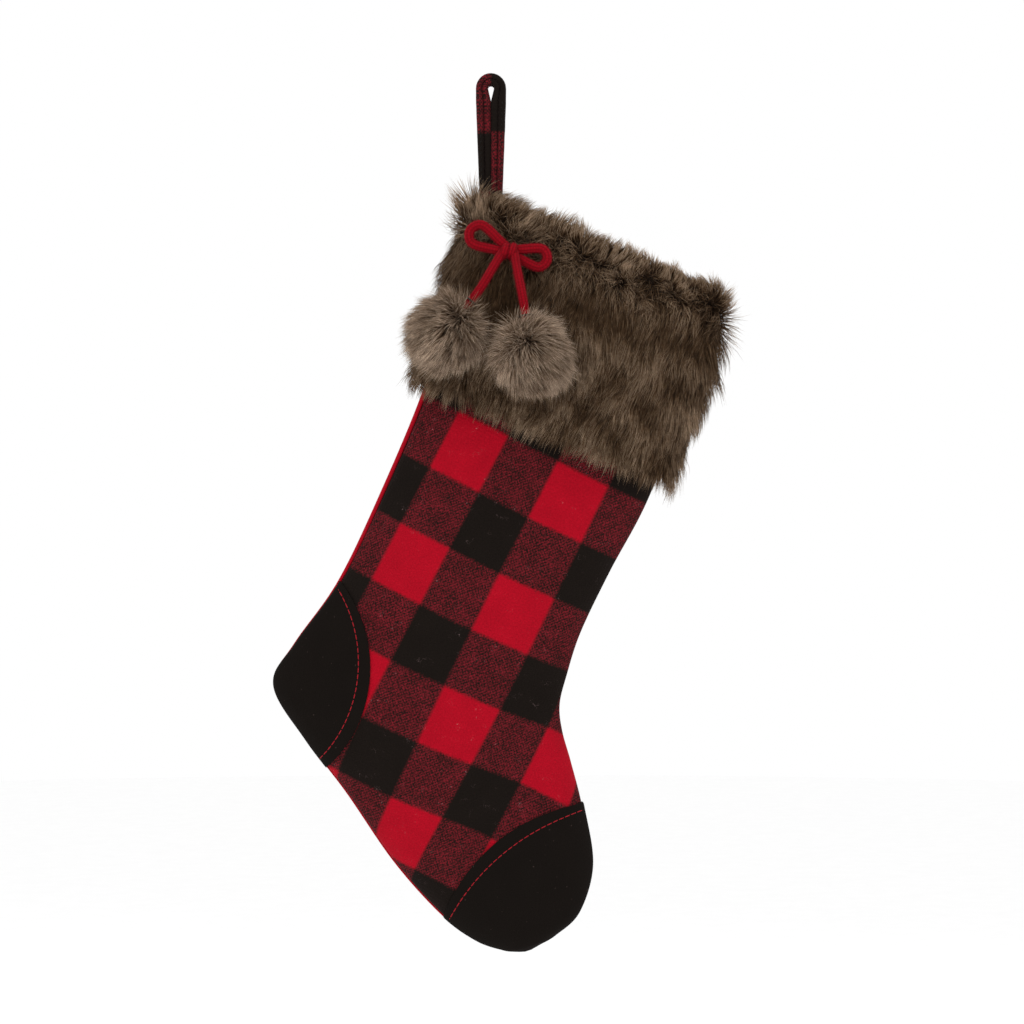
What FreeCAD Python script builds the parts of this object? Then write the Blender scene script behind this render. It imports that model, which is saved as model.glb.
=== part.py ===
"""Hanging Christmas stocking: a check-fabric boot with a lining, black heel and toe patches, a
faux-fur cuff, a cord bow with two pom-poms, and a strap loop that hangs on a hook.

Millimetres. +Z is up, +X is to the toe's side, and the front of the stocking looks along -Y.
The origin is the middle of the loop's eye, where the hook passes. The seam between the front and
the back of the boot lies in the plane Y = 0.
"""
import FreeCAD, Part
import math
import os
import Sketcher

Vector = FreeCAD.Vector
AXIS_X = Vector(1, 0, 0)
AXIS_Y = Vector(0, 1, 0)
AXIS_Z = Vector(0, 0, 1)

doc = FreeCAD.newDocument("HangingStocking")

# ---------------------------------------------------------------- driving dimensions

SIZES = {
    # hanging loop
    "eye_radius": 3.5,
    "loop_top_radius": 10.0,
    "loop_foot_half": 7.0,
    "loop_width": 14.0,
    "loop_foot_z": -69.9,
    "loop_slit": 0.5,
    "eye_tail_z": -13.0,
    "strap_edge_round": 1.5,
    "tack_z": -72.0,
    "tack_radius": 1.8,
    "tack_length": 12.0,
    "tail_top_z": -77.5,
    "tail_foot_z": -104.0,
    "tail_half": 6.5,
    "tail_width": 11.0,
    # fabrics
    "panel_thick": 1.8,
    "lining_thick": 0.8,
    "layer_gap": 0.1,
    "patch_thick": 1.2,
    # patches: each edge is one circle about a centre in the XZ plane
    "heel_centre_x": -180.5,
    "heel_centre_z": -372.9,
    "heel_radius": 100.9,
    "toe_centre_x": 99.3,
    "toe_centre_z": -607.5,
    "toe_radius": 149.9,
    "patch_reach": 60.0,
    "stitch_inset": 7.0,
    "stitch_pitch": 4.2,
    "stitch_length": 2.6,
    "stitch_radius": 0.45,
    # stitches along the strap's edges: how far across each leg, and where the rows start and stop
    "edge_row_share": 0.66,
    "edge_row_top_z": -8.0,
    "edge_row_foot_gap": 4.0,
    # stitches inside the mouth: how far below it and off the lining, and one slanted stitch's size
    "seam_below": 6.0,
    "seam_off_lining": 1.9,
    "seam_fall": 2.2,
    "seam_lean": 1.4,
    "seam_count": 29,
    # fur cuff
    "fur_end_bulge": 6.0,
    # bow
    "knot_x": 11.5,
    "knot_y": -39.0,
    "knot_z": -109.0,
    "knot_radius": 6.5,
    "bow_plane_y": -36.2,
    "cord_radius": 3.4,
    "strand_gap": 0.3,
    "bend_length": 4.4,
    "bend_gap": 0.9,
    "tack_thread_radius": 0.5,
    "tack_thread_length": 3.0,
    "tack_thread_apart": 3.0,
    # pom-poms
    "pom_radius": 26.0,
    "pom_cover_thick": 3.2,
    "pom_neck_radius": 5.3,
    "filling_radius": 22.5,
    "filling_bore": 4.4,
    "knot_hollow_radius": 7.2,
    "end_knot_radius": 6.0,
    "gather_radius": 4.4,
    "gather_thread": 0.6,
}

# Cross-sections of the boot from the mouth to the toe. Each is the line between a point on its left
# edge and one on its right edge, with the half depth at the middle and at the two edges.
# name: left x, left z, right x, right z, crown, left edge, right edge
BOOT = {
    "mouth": (-12, -82, 147, -140, 19, 13.5, 9),
    "cuff_upper": (-19.5, -109.5, 138, -166, 20, 10, 7),
    "cuff_middle": (-27, -137, 128.5, -192, 21, 7, 5),
    "cuff_hem": (-43, -197, 103, -264, 22, 3.8, 3.8),
    "calf": (-72, -268, 77, -313, 22, 3.6, 3.6),
    "heel_top": (-97, -322, 58, -353, 22, 3.6, 3.6),
    "heel_upper": (-127, -361, 49, -381, 22, 3.6, 3.6),
    "heel_back": (-141, -387, 44.5, -400, 22, 3.6, 3.6),
    "heel_lower": (-121, -423, 46, -417, 22, 3.6, 3.6),
    "arch": (-95, -458, 52, -437, 22, 3.6, 3.6),
    "ball": (-62, -502, 60, -467, 21, 3.6, 3.6),
    "toe_upper": (-31, -535, 66, -504, 18, 3.6, 3.6),
    "toe_lower": (-9, -551, 59, -534, 13, 3.6, 3.6),
    "toe_tip": (12, -558, 43, -550, 7, 3.6, 3.6),
}

# The lining stops short of the panels' tip, which closes below it.
LINING_TIP = {"lining_tip": (9, -555.5, 45.5, -546.1, 8.4, 3.6, 3.6)}

# Cross-sections of the fur cuff's outside, the same way, and the walls between them and the hole.
# name: left x, left z, right x, right z, crown, left edge, right edge, left wall, right wall,
#       hole crown, hole left edge, hole right edge
FUR = {
    "fur_top": (-20, -72, 156, -137, 31, 24, 21, 9.0, 6.2, 20.3, 15.2, 11),
    "fur_middle": (-41, -132, 145, -198, 34, 22, 19, 13.6, 16, 22.1, 9, 7),
    "fur_bottom": (-53, -190, 116, -258, 32, 17, 15, 10, 8.8, 23.1, 5.2, 5.2),
}

# Routes of the two tails. They leave the bow's knot side by side, lean forward over the fur and end
# in the middles of the pom-poms.
TAILS = {
    "left": ((7.9, -39, -109), (0.5, -49.5, -122), (-8, -56, -137.5), (-27.3, -57, -160.6)),
    "right": ((15.1, -39, -109), (17, -49.5, -122.5), (20.5, -58, -139.5), (26.3, -62.5, -175)),
}

# Bow loops: direction of each loop's axis, its length from the knot's middle to the fold's corners,
# the half width there, and where between them each strand leans outward (shares of both).
BOW_LOOPS = {
    "left": {"axis": (-0.878, 0, 0.478), "reach": 27.5, "half_width": 5.3},
    "right": {"axis": (0.978, 0, -0.206), "reach": 24.5, "half_width": 5.3},
}
BOW_LEAN = (0.55, 0.8)

SECTION_FIELDS = ("left_x", "left_z", "right_x", "right_z", "crown", "edge_left", "edge_right")
FUR_FIELDS = SECTION_FIELDS + (
    "wall_left",
    "wall_right",
    "hole_crown",
    "hole_edge_left",
    "hole_edge_right",
)


def fill_sheet():
    """Writes every driving dimension into the sheet, one row each, with its alias."""
    sheet = doc.addObject("Spreadsheet::Sheet", "Sizes")
    rows = dict(SIZES)
    for name, numbers in (BOOT | LINING_TIP).items():
        rows.update({f"{name}_{field}": n for field, n in zip(SECTION_FIELDS, numbers)})
    for name, numbers in FUR.items():
        rows.update({f"{name}_{field}": n for field, n in zip(FUR_FIELDS, numbers)})
    for row, (alias, number) in enumerate(rows.items(), start=1):
        sheet.set(f"A{row}", alias)
        sheet.set(f"B{row}", str(number))
        sheet.setAlias(f"B{row}", alias)
    doc.recompute()
    return rows


VALUES = fill_sheet()


def size(alias):
    """The sheet's number for one alias."""
    return VALUES[alias]


# ---------------------------------------------------------------- sketch helpers

def new_body(name):
    body = doc.addObject("PartDesign::Body", name)
    body.Label = name
    return body


def origin_plane(body, role):
    return next(f for f in body.Origin.OriginFeatures if f.Role == role)


def plane_sketch(body, name, role="XZ_Plane"):
    """A sketch on one of the body's own origin planes."""
    sketch = body.newObject("Sketcher::SketchObject", name)
    sketch.AttachmentSupport = (origin_plane(body, role), [""])
    sketch.MapMode = "FlatFace"
    return sketch


def section_sketch(body, label, section):
    """A sketch across the boot at one section: its x is depth (+Y) and its y runs from the left
    edge's point to the right edge's point."""
    sketch = plane_sketch(body, f"{label}_{section}", "YZ_Plane")
    left_x, left_z = size(f"{section}_left_x"), size(f"{section}_left_z")
    right_x, right_z = size(f"{section}_right_x"), size(f"{section}_right_z")
    turn = 90 + math.degrees(math.atan2(left_z - right_z, right_x - left_x))
    sketch.AttachmentOffset = FreeCAD.Placement(
        Vector(0, left_z, left_x), FreeCAD.Rotation(AXIS_X, turn)
    )
    sketch.setExpression("AttachmentOffset.Base.y", f"Sizes.{section}_left_z")
    sketch.setExpression("AttachmentOffset.Base.z", f"Sizes.{section}_left_x")
    sketch.setExpression(
        "AttachmentOffset.Rotation.Angle",
        f"90 deg + atan2(Sizes.{section}_left_z - Sizes.{section}_right_z; "
        f"Sizes.{section}_right_x - Sizes.{section}_left_x)",
    )
    return sketch


def section_width(section):
    return math.hypot(
        size(f"{section}_right_x") - size(f"{section}_left_x"),
        size(f"{section}_right_z") - size(f"{section}_left_z"),
    )


def section_width_expression(section):
    across = f"(Sizes.{section}_right_x - Sizes.{section}_left_x)"
    down = f"(Sizes.{section}_right_z - Sizes.{section}_left_z)"
    return f"sqrt({across} * {across} + {down} * {down})"


def fix_point(sketch, geometry, position, x, y, x_expression, y_expression):
    """Holds one end of a sketch's edge at (x, y), each bound to an expression of the sheet."""
    for kind, number, expression in (
        ("DistanceX", x, x_expression),
        ("DistanceY", y, y_expression),
    ):
        index = sketch.addConstraint(
            Sketcher.Constraint(kind, -1, 1, geometry, position, number)
        )
        sketch.setExpression(f"Constraints[{index}]", expression)


def outline(sketch, corners):
    """A closed outline from corners (x, y, x expression, y expression, crown). An edge whose first
    corner has a crown (x, y, x expression, y expression) is an arc through it, others are lines."""
    edges = []
    for (x, y, _, _, crown), (next_x, next_y, *_rest) in zip(corners, corners[1:] + corners[:1]):
        start, end = Vector(x, y, 0), Vector(next_x, next_y, 0)
        if crown:
            curve = Part.Arc(start, Vector(crown[0], crown[1], 0), end)
        else:
            curve = Part.LineSegment(start, end)
        edges.append(sketch.addGeometry(curve, False))
    for number, (corner, edge) in enumerate(zip(corners, edges)):
        x, y, x_expression, y_expression, crown = corner
        first, last = ends(sketch, edge, x, y)
        after = edges[(number + 1) % len(edges)]
        following = corners[(number + 1) % len(corners)]
        after_first, _ = ends(sketch, after, following[0], following[1])
        sketch.addConstraint(Sketcher.Constraint("Coincident", edge, last, after, after_first))
        fix_point(sketch, edge, first, x, y, x_expression, y_expression)
        if crown:
            point = sketch.addGeometry(Part.Point(Vector(crown[0], crown[1], 0)), True)
            sketch.addConstraint(Sketcher.Constraint("PointOnObject", point, 1, edge))
            fix_point(sketch, point, 1, *crown)


def ends(sketch, edge, x, y):
    """Which end of an edge, 1 or 2, is at (x, y), and which is the other. An arc's own first end
    depends on the way it turns."""
    start = sketch.getPoint(edge, 1)
    at_start = math.hypot(start.x - x, start.y - y) < 1e-6
    return (1, 2) if at_start else (2, 1)


def loft(name, sketches):
    """A solid through a row of sections. Cubic spans keep it from swinging past its end sections."""
    solid = doc.addObject("Part::Loft", name)
    solid.Label = name
    solid.Sections = sketches
    solid.Solid = True
    solid.Ruled = False
    solid.MaxDegree = 3
    doc.recompute()
    return solid


# ---------------------------------------------------------------- boot: panels and lining

def total(aliases):
    """The sum of some of the sheet's numbers, and its expression."""
    return sum(size(alias) for alias in aliases), " + ".join(
        ["0"] + [f"Sizes.{alias}" for alias in aliases]
    )


def depth_inside(section, field, side, inset):
    """How far a section's crown or edge is from the seam's plane, inside an inset. The side is -1
    for the front and +1 for the back."""
    number, text = inset
    return side * (size(f"{section}_{field}") - number), (
        f"{side} * (Sizes.{section}_{field} - ({text}))"
    )


def corner(depth, along, crown=None):
    """One corner of a section's outline, from two (number, expression) pairs."""
    return (depth[0], along[0], depth[1], along[1], crown)


def span_inside(section, inset):
    """The two ends and the middle of a section's width, inside an inset."""
    width, width_text = section_width(section), section_width_expression(section)
    number, text = inset
    return inset, (width - number, f"{width_text} - ({text})"), (width / 2, f"{width_text} / 2")


FLAT = (0, "0")


def shell_section(body, label, section, side, outer, inner):
    """Half of the boot's wall at one section, between two insets from its outer face."""
    rim_left, rim_right, middle = span_inside(section, outer)
    core_left, core_right, _ = span_inside(section, inner)
    outer_crown = corner(depth_inside(section, "crown", side, outer), middle)[:4]
    inner_crown = corner(depth_inside(section, "crown", side, inner), middle)[:4]
    sketch = section_sketch(body, label, section)
    outline(
        sketch,
        [
            corner(FLAT, rim_left),
            corner(depth_inside(section, "edge_left", side, outer), rim_left, outer_crown),
            corner(depth_inside(section, "edge_right", side, outer), rim_right),
            corner(FLAT, rim_right),
            corner(FLAT, core_right),
            corner(depth_inside(section, "edge_right", side, inner), core_right, inner_crown),
            corner(depth_inside(section, "edge_left", side, inner), core_left),
            corner(FLAT, core_left),
        ],
    )
    return sketch


def tip_section(body, label, section, side, inset):
    """Half of the boot's whole section inside one inset, which closes the toe's tip."""
    left, right, middle = span_inside(section, inset)
    crown = corner(depth_inside(section, "crown", side, inset), middle)[:4]
    sketch = section_sketch(body, f"{label}_closed", section)
    outline(
        sketch,
        [
            corner(FLAT, left),
            corner(depth_inside(section, "edge_left", side, inset), left, crown),
            corner(depth_inside(section, "edge_right", side, inset), right),
            corner(FLAT, right),
        ],
    )
    return sketch


def boot_shell(name, side, outer, inner, sections, thickness):
    """One layer of the boot's front or back, lofted from the mouth to the toe and closed there."""
    holder = new_body(f"{name}_sections")
    wall = loft(
        f"{name}_wall", [shell_section(holder, name, s, side, outer, inner) for s in sections]
    )
    cap = doc.addObject("Part::Extrusion", f"{name}_cap")
    cap.Base = tip_section(holder, name, sections[-1], side, outer)
    cap.DirMode = "Normal"
    cap.Reversed = True
    cap.Solid = True
    cap.setExpression("LengthFwd", f"Sizes.{thickness}")
    piece = doc.addObject("Part::MultiFuse", name)
    piece.Shapes = [wall, cap]
    piece.Label = name
    doc.recompute()
    return piece


def make_boot():
    panel_out = total([])
    panel_in = total(["panel_thick"])
    lining_out = total(["panel_thick", "layer_gap"])
    lining_in = total(["panel_thick", "layer_gap", "lining_thick"])
    panel_sections = list(BOOT)
    lining_sections = panel_sections[:-1] + list(LINING_TIP)
    for name, side in (("front_panel", -1), ("back_panel", 1)):
        boot_shell(name, side, panel_out, panel_in, panel_sections, "panel_thick")
    for name, side in (("lining_front", -1), ("lining_back", 1)):
        boot_shell(name, side, lining_out, lining_in, lining_sections, "lining_thick")


# ---------------------------------------------------------------- patches and their stitching

def patch_section(body, section):
    """A strip of patch thickness across the front panel's face at one section."""
    under = (-size("layer_gap"), "0 - Sizes.layer_gap")
    over = (under[0] - size("patch_thick"), "0 - Sizes.layer_gap - Sizes.patch_thick")
    left, right, middle = span_inside(section, total([]))
    over_crown = corner(depth_inside(section, "crown", -1, over), middle)[:4]
    under_crown = corner(depth_inside(section, "crown", -1, under), middle)[:4]
    sketch = section_sketch(body, "patch", section)
    outline(
        sketch,
        [
            corner(depth_inside(section, "edge_left", -1, over), left, over_crown),
            corner(depth_inside(section, "edge_right", -1, over), right),
            corner(depth_inside(section, "edge_right", -1, under), right, under_crown),
            corner(depth_inside(section, "edge_left", -1, under), left),
        ],
    )
    return sketch


def patch(name, place, skin):
    """A patch: the part of the skin inside one round column, which cuts its edge."""
    column = doc.addObject("Part::Cylinder", f"{name}_column")
    column.Placement = FreeCAD.Placement(
        Vector(size(f"{place}_centre_x"), 0, size(f"{place}_centre_z")),
        FreeCAD.Rotation(AXIS_X, 90),
    )
    column.setExpression("Placement.Base.x", f"Sizes.{place}_centre_x")
    column.setExpression("Placement.Base.z", f"Sizes.{place}_centre_z")
    column.setExpression("Radius", f"Sizes.{place}_radius")
    column.setExpression("Height", "Sizes.patch_reach")
    piece = doc.addObject("Part::Common", name)
    piece.Base = skin
    piece.Tool = column
    piece.Label = name
    doc.recompute()
    return piece


def surface_y(shape, x, z):
    """The foremost Y of a shape on the line through (x, z), or None beside the shape."""
    line = Part.makeLine(Vector(x, -size("patch_reach"), z), Vector(x, 0, z))
    hit = shape.common(line)
    return hit.BoundBox.YMin if hit.Edges else None


def capsule(start, end, radius):
    """A round bar with domed ends."""
    along = end - start
    bar = Part.makeCylinder(radius, along.Length, start, along)
    return bar.fuse([Part.makeSphere(radius, start), Part.makeSphere(radius, end)])


def group(name, solids):
    piece = doc.addObject("Part::Feature", name)
    piece.Shape = Part.makeCompound(solids)
    piece.Label = name
    return piece


def topstitch(name, patch_piece, place):
    """A row of stitches round a patch's circle, a set distance inside its edge."""
    centre_x, centre_z = size(f"{place}_centre_x"), size(f"{place}_centre_z")
    radius = size(f"{place}_radius") - size("stitch_inset")
    count = int(2 * math.pi * radius / size("stitch_pitch"))
    half_turn = size("stitch_length") / 2 / radius
    lift = size("stitch_radius") + size("layer_gap")
    stitches = []
    for number in range(count):
        middle = 2 * math.pi * number / count
        tips = []
        for angle in (middle - half_turn, middle + half_turn):
            x = centre_x + radius * math.cos(angle)
            z = centre_z + radius * math.sin(angle)
            y = surface_y(patch_piece.Shape, x, z)
            if y is not None:
                tips.append(Vector(x, y - lift, z))
        if len(tips) == 2:
            stitches.append(capsule(tips[0], tips[1], size("stitch_radius")))
    return group(name, stitches)


def make_patches():
    holder = new_body("patch_sections")
    skin = loft("patch_skin", [patch_section(holder, section) for section in BOOT])
    heel = patch("heel_patch", "heel", skin)
    toe = patch("toe_patch", "toe", skin)
    topstitch("heel_topstitch", heel, "heel")
    topstitch("toe_topstitch", toe, "toe")


# ---------------------------------------------------------------- fur cuff

def fur_section(body, label, section, hole):
    """The fur cuff's outside, or its hole, at one section: four arcs, or two arcs and two lines."""
    width = section_width(section)
    width_text = section_width_expression(section)
    sketch = section_sketch(body, label, section)
    if hole:
        left, left_text = size(f"{section}_wall_left"), f"Sizes.{section}_wall_left"
        right = width - size(f"{section}_wall_right")
        right_text = f"{width_text} - Sizes.{section}_wall_right"
        prefix = "hole_"
    else:
        left, left_text = size("fur_end_bulge"), "Sizes.fur_end_bulge"
        right = width - size("fur_end_bulge")
        right_text = f"{width_text} - Sizes.fur_end_bulge"
        prefix = ""
    deep, deep_text = size(f"{section}_{prefix}crown"), f"Sizes.{section}_{prefix}crown"
    edge_l, edge_l_text = size(f"{section}_{prefix}edge_left"), f"Sizes.{section}_{prefix}edge_left"
    edge_r, edge_r_text = (
        size(f"{section}_{prefix}edge_right"),
        f"Sizes.{section}_{prefix}edge_right",
    )
    half, half_text = width / 2, f"{width_text} / 2"
    right_end = None if hole else (0, width, "0", width_text)
    left_end = None if hole else (0, 0, "0", "0")
    outline(
        sketch,
        [
            (-edge_l, left, f"-{edge_l_text}", left_text, (-deep, half, f"-{deep_text}", half_text)),
            (-edge_r, right, f"-{edge_r_text}", right_text, right_end),
            (edge_r, right, edge_r_text, right_text, (deep, half, deep_text, half_text)),
            (edge_l, left, edge_l_text, left_text, left_end),
        ],
    )
    return sketch


def make_fur_cuff():
    holder = new_body("fur_cuff_sections")
    cuff = doc.addObject("Part::Cut", "fur_cuff")
    cuff.Label = "fur_cuff"
    cuff.Base = loft("fur_outside", [fur_section(holder, "fur", s, False) for s in FUR])
    cuff.Tool = loft("fur_hole", [fur_section(holder, "hole", s, True) for s in FUR])
    doc.recompute()
    return cuff


def cuff_seam_stitches():
    """Slanted stitches inside the mouth that hold the cuff's facing to the lining."""
    section = "mouth"
    inset = total(["panel_thick", "layer_gap", "lining_thick", "seam_off_lining"])[0]
    width = section_width(section)
    left = Vector(size(f"{section}_left_x"), 0, size(f"{section}_left_z"))
    right = Vector(size(f"{section}_right_x"), 0, size(f"{section}_right_z"))
    along = (right - left) / width
    down = Vector(along.z, 0, -along.x)
    slant = down * size("seam_fall") + along * size("seam_lean")
    solids = []
    for side in (-1, 1):
        start, end, crown = (
            left
            + along * distance
            + down * size("seam_below")
            + AXIS_Y * side * (size(f"{section}_{field}") - inset)
            for distance, field in (
                (inset, "edge_left"), (width - inset, "edge_right"), (width / 2, "crown")
            )
        )
        for point in Part.Arc(start, crown, end).discretize(size("seam_count") + 2)[1:-1]:
            solids.append(capsule(point, point + slant, size("stitch_radius")))
    return group("cuff_seam_stitches", solids)


# ---------------------------------------------------------------- hanging loop

def make_loop():
    """The strap's loop: two legs joined by the crown, with the eye between them."""
    body = new_body("hanging_loop")
    sketch = plane_sketch(body, "loop_outline")
    top, eye = size("loop_top_radius"), size("eye_radius")
    foot, foot_z = size("loop_foot_half"), size("loop_foot_z")
    slit, tail = size("loop_slit") / 2, size("eye_tail_z")
    slit_text = "Sizes.loop_slit / 2"
    outline(
        sketch,
        [
            (-foot, foot_z, "-Sizes.loop_foot_half", "Sizes.loop_foot_z", None),
            (-top, 0, "-Sizes.loop_top_radius", "0", (0, top, "0", "Sizes.loop_top_radius")),
            (top, 0, "Sizes.loop_top_radius", "0", None),
            (foot, foot_z, "Sizes.loop_foot_half", "Sizes.loop_foot_z", None),
            (slit, foot_z, slit_text, "Sizes.loop_foot_z", None),
            (slit, tail, slit_text, "Sizes.eye_tail_z", None),
            (eye, 0, "Sizes.eye_radius", "0", (0, eye, "0", "Sizes.eye_radius")),
            (-eye, 0, "-Sizes.eye_radius", "0", None),
            (-slit, tail, f"-{slit_text}", "Sizes.eye_tail_z", None),
            (-slit, foot_z, f"-{slit_text}", "Sizes.loop_foot_z", None),
        ],
    )
    pad = body.newObject("PartDesign::Pad", "loop_pad")
    pad.Profile = sketch
    pad.setExpression("Length", "Sizes.loop_width")
    pad.Midplane = True
    doc.recompute()
    edges = [
        f"Edge{number}"
        for number, edge in enumerate(pad.Shape.Edges, start=1)
        if abs(abs(edge.CenterOfMass.y) - size("loop_width") / 2) < 0.01
        and max(abs(v.X) for v in edge.Vertexes) > size("loop_foot_half") - 0.01
        and edge.Length > size("loop_foot_half") + 1
    ]
    edge_round = body.newObject("PartDesign::Fillet", "strap_edges")
    edge_round.Base = (pad, edges)
    edge_round.setExpression("Radius", "Sizes.strap_edge_round")
    doc.recompute()
    return body


def block(name, x_expression, y_expression, z_expression, low):
    """A rectangular block, centred on X and Y, from its low end up."""
    box = doc.addObject("Part::Box", name)
    box.Label = name
    box.setExpression("Length", x_expression)
    box.setExpression("Width", y_expression)
    box.setExpression("Height", z_expression)
    box.setExpression("Placement.Base.x", f"-({x_expression}) / 2")
    box.setExpression("Placement.Base.y", f"-({y_expression}) / 2")
    box.setExpression("Placement.Base.z", low)
    doc.recompute()
    return box


def make_loop_foot():
    """The bar tack across the strap where it bends, and the strap's end sewn inside the mouth."""
    tack = doc.addObject("Part::Cylinder", "loop_bartack")
    tack.Label = "loop_bartack"
    tack.Placement = FreeCAD.Placement(Vector(), FreeCAD.Rotation(AXIS_Y, 90))
    tack.setExpression("Radius", "Sizes.tack_radius")
    tack.setExpression("Height", "Sizes.tack_length")
    tack.setExpression("Placement.Base.x", "-Sizes.tack_length / 2")
    tack.setExpression("Placement.Base.z", "Sizes.tack_z")
    block(
        "loop_tail",
        "2 * Sizes.tail_half",
        "Sizes.tail_width",
        "Sizes.tail_top_z - Sizes.tail_foot_z",
        "Sizes.tail_foot_z",
    )


def loop_edge_stitches():
    """Two rows of stitches on the strap's front and back faces, one down each leg."""
    top, foot, foot_z = size("loop_top_radius"), size("loop_foot_half"), size("loop_foot_z")
    first, last = size("edge_row_top_z"), foot_z + size("edge_row_foot_gap")
    count = int((first - last) / size("stitch_pitch"))
    solids = []
    for side in (-1, 1):
        y = side * (size("loop_width") / 2 + size("stitch_radius") + size("layer_gap"))
        for leg in (-1, 1):
            for number in range(count):
                z = first - number * size("stitch_pitch")
                outer = top + (foot - top) * z / foot_z
                x = leg * outer * size("edge_row_share")
                low = Vector(x, y, z - size("stitch_length"))
                solids.append(capsule(Vector(x, y, z), low, size("stitch_radius")))
    return group("loop_edge_stitches", solids)


# ---------------------------------------------------------------- bow

def cord_wire(points, start_cut=0.0, end_cut=0.0):
    """A route of straight runs joined by tangent arcs, each as large as its two runs allow."""
    corners = [Vector(*p) for p in points]
    corners[0] = corners[0] + (corners[1] - corners[0]).normalize() * start_cut
    corners[-1] = corners[-1] + (corners[-2] - corners[-1]).normalize() * end_cut
    edges, here, radii = [], corners[0], []
    for before, corner, after in zip(corners, corners[1:], corners[2:]):
        run_in, run_out = corner - before, after - corner
        turn = run_in.getAngle(run_out)
        reach = 0.45 * min(run_in.Length, run_out.Length)
        radii.append(reach / math.tan(turn / 2))
        back = corner - Vector(run_in).normalize() * reach
        ahead = corner + Vector(run_out).normalize() * reach
        inward = (back + ahead) / 2 - corner
        bisector = Vector(inward).normalize()
        to_centre = math.hypot(radii[-1], reach)
        middle = corner + bisector * (to_centre - radii[-1])
        edges.append(Part.LineSegment(here, back).toShape())
        edges.append(Part.Arc(back, middle, ahead).toShape())
        here = ahead
    edges.append(Part.LineSegment(here, corners[-1]).toShape())
    return Part.Wire(edges), radii


def cord(name, points, start_cut=0.0, end_cut=0.0):
    """A round cord along its route."""
    wire, radii = cord_wire(points, start_cut, end_cut)
    start = wire.Edges[0]
    ring = Part.Wire(
        Part.makeCircle(size("cord_radius"), start.valueAt(start.FirstParameter),
                        start.tangentAt(start.FirstParameter))
    )
    piece = doc.addObject("Part::Feature", name)
    piece.Shape = wire.makePipeShell([ring], True, False)
    piece.Label = name
    section = math.pi * size("cord_radius") ** 2
    print(
        name,
        "length", round(wire.Length, 1),
        "volume / (section x length)", round(piece.Shape.Volume / section / wire.Length, 4),
        "radii", [round(r, 1) for r in radii],
    )
    return piece


def make_bow():
    """The knot, the two loops that leave it sideways, and the threads that tack it to the fur."""
    knot = doc.addObject("Part::Sphere", "bow_knot")
    knot.Label = "bow_knot"
    knot.setExpression("Radius", "Sizes.knot_radius")
    for axis in ("x", "y", "z"):
        knot.setExpression(f"Placement.Base.{axis}", f"Sizes.knot_{axis}")
    middle = Vector(size("knot_x"), size("bow_plane_y"), size("knot_z"))
    root = size("cord_radius") + size("strand_gap") / 2
    lean_along, lean_out = BOW_LEAN
    for side, loop in BOW_LOOPS.items():
        axis = Vector(*loop["axis"])
        across = axis.cross(AXIS_Y)
        reach, half = loop["reach"], loop["half_width"]
        strand = [
            (size("knot_radius"), root), (lean_along * reach, lean_out * half), (reach, half)
        ]
        there = [middle + axis * s + across * t for s, t in strand]
        back = [middle + axis * s - across * t for s, t in reversed(strand)]
        cord(f"bow_loop_{side}", [tuple(point) for point in there + back])
    behind = Vector(size("knot_x"), size("knot_y") + size("knot_radius"), size("knot_z"))
    aside = AXIS_X * size("tack_thread_apart") / 2
    threads = [
        Part.makeCylinder(size("tack_thread_radius"), size("tack_thread_length"), start, AXIS_Y)
        for start in (behind - aside, behind + aside)
    ]
    group("bow_tack_thread", threads)


def pom_frame(side):
    """A pom-pom's own frame: its middle, with +Z along the cord that comes in at its neck."""
    middle = Vector(*TAILS[side][-1])
    inward = Vector(*TAILS[side][-2]) - middle
    return FreeCAD.Placement(middle, FreeCAD.Rotation(AXIS_Z, inward))


def turned(name, corners):
    """A turned solid: an outline in the body's XZ plane, revolved about its Z axis."""
    body = new_body(name)
    sketch = plane_sketch(body, f"{name}_profile")
    outline(sketch, corners)
    revolution = body.newObject("PartDesign::Revolution", f"{name}_turned")
    revolution.Profile = sketch
    revolution.ReferenceAxis = (sketch, ["V_Axis"])
    revolution.Angle = 360
    doc.recompute()
    return body


def dome_height(radius_alias, at_alias):
    """The height on a sphere at a distance from its axis, and its expression."""
    radius, at = size(radius_alias), size(at_alias)
    text = (
        f"sqrt(Sizes.{radius_alias} * Sizes.{radius_alias} - "
        f"Sizes.{at_alias} * Sizes.{at_alias})"
    )
    return math.sqrt(radius * radius - at * at), text


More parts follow.
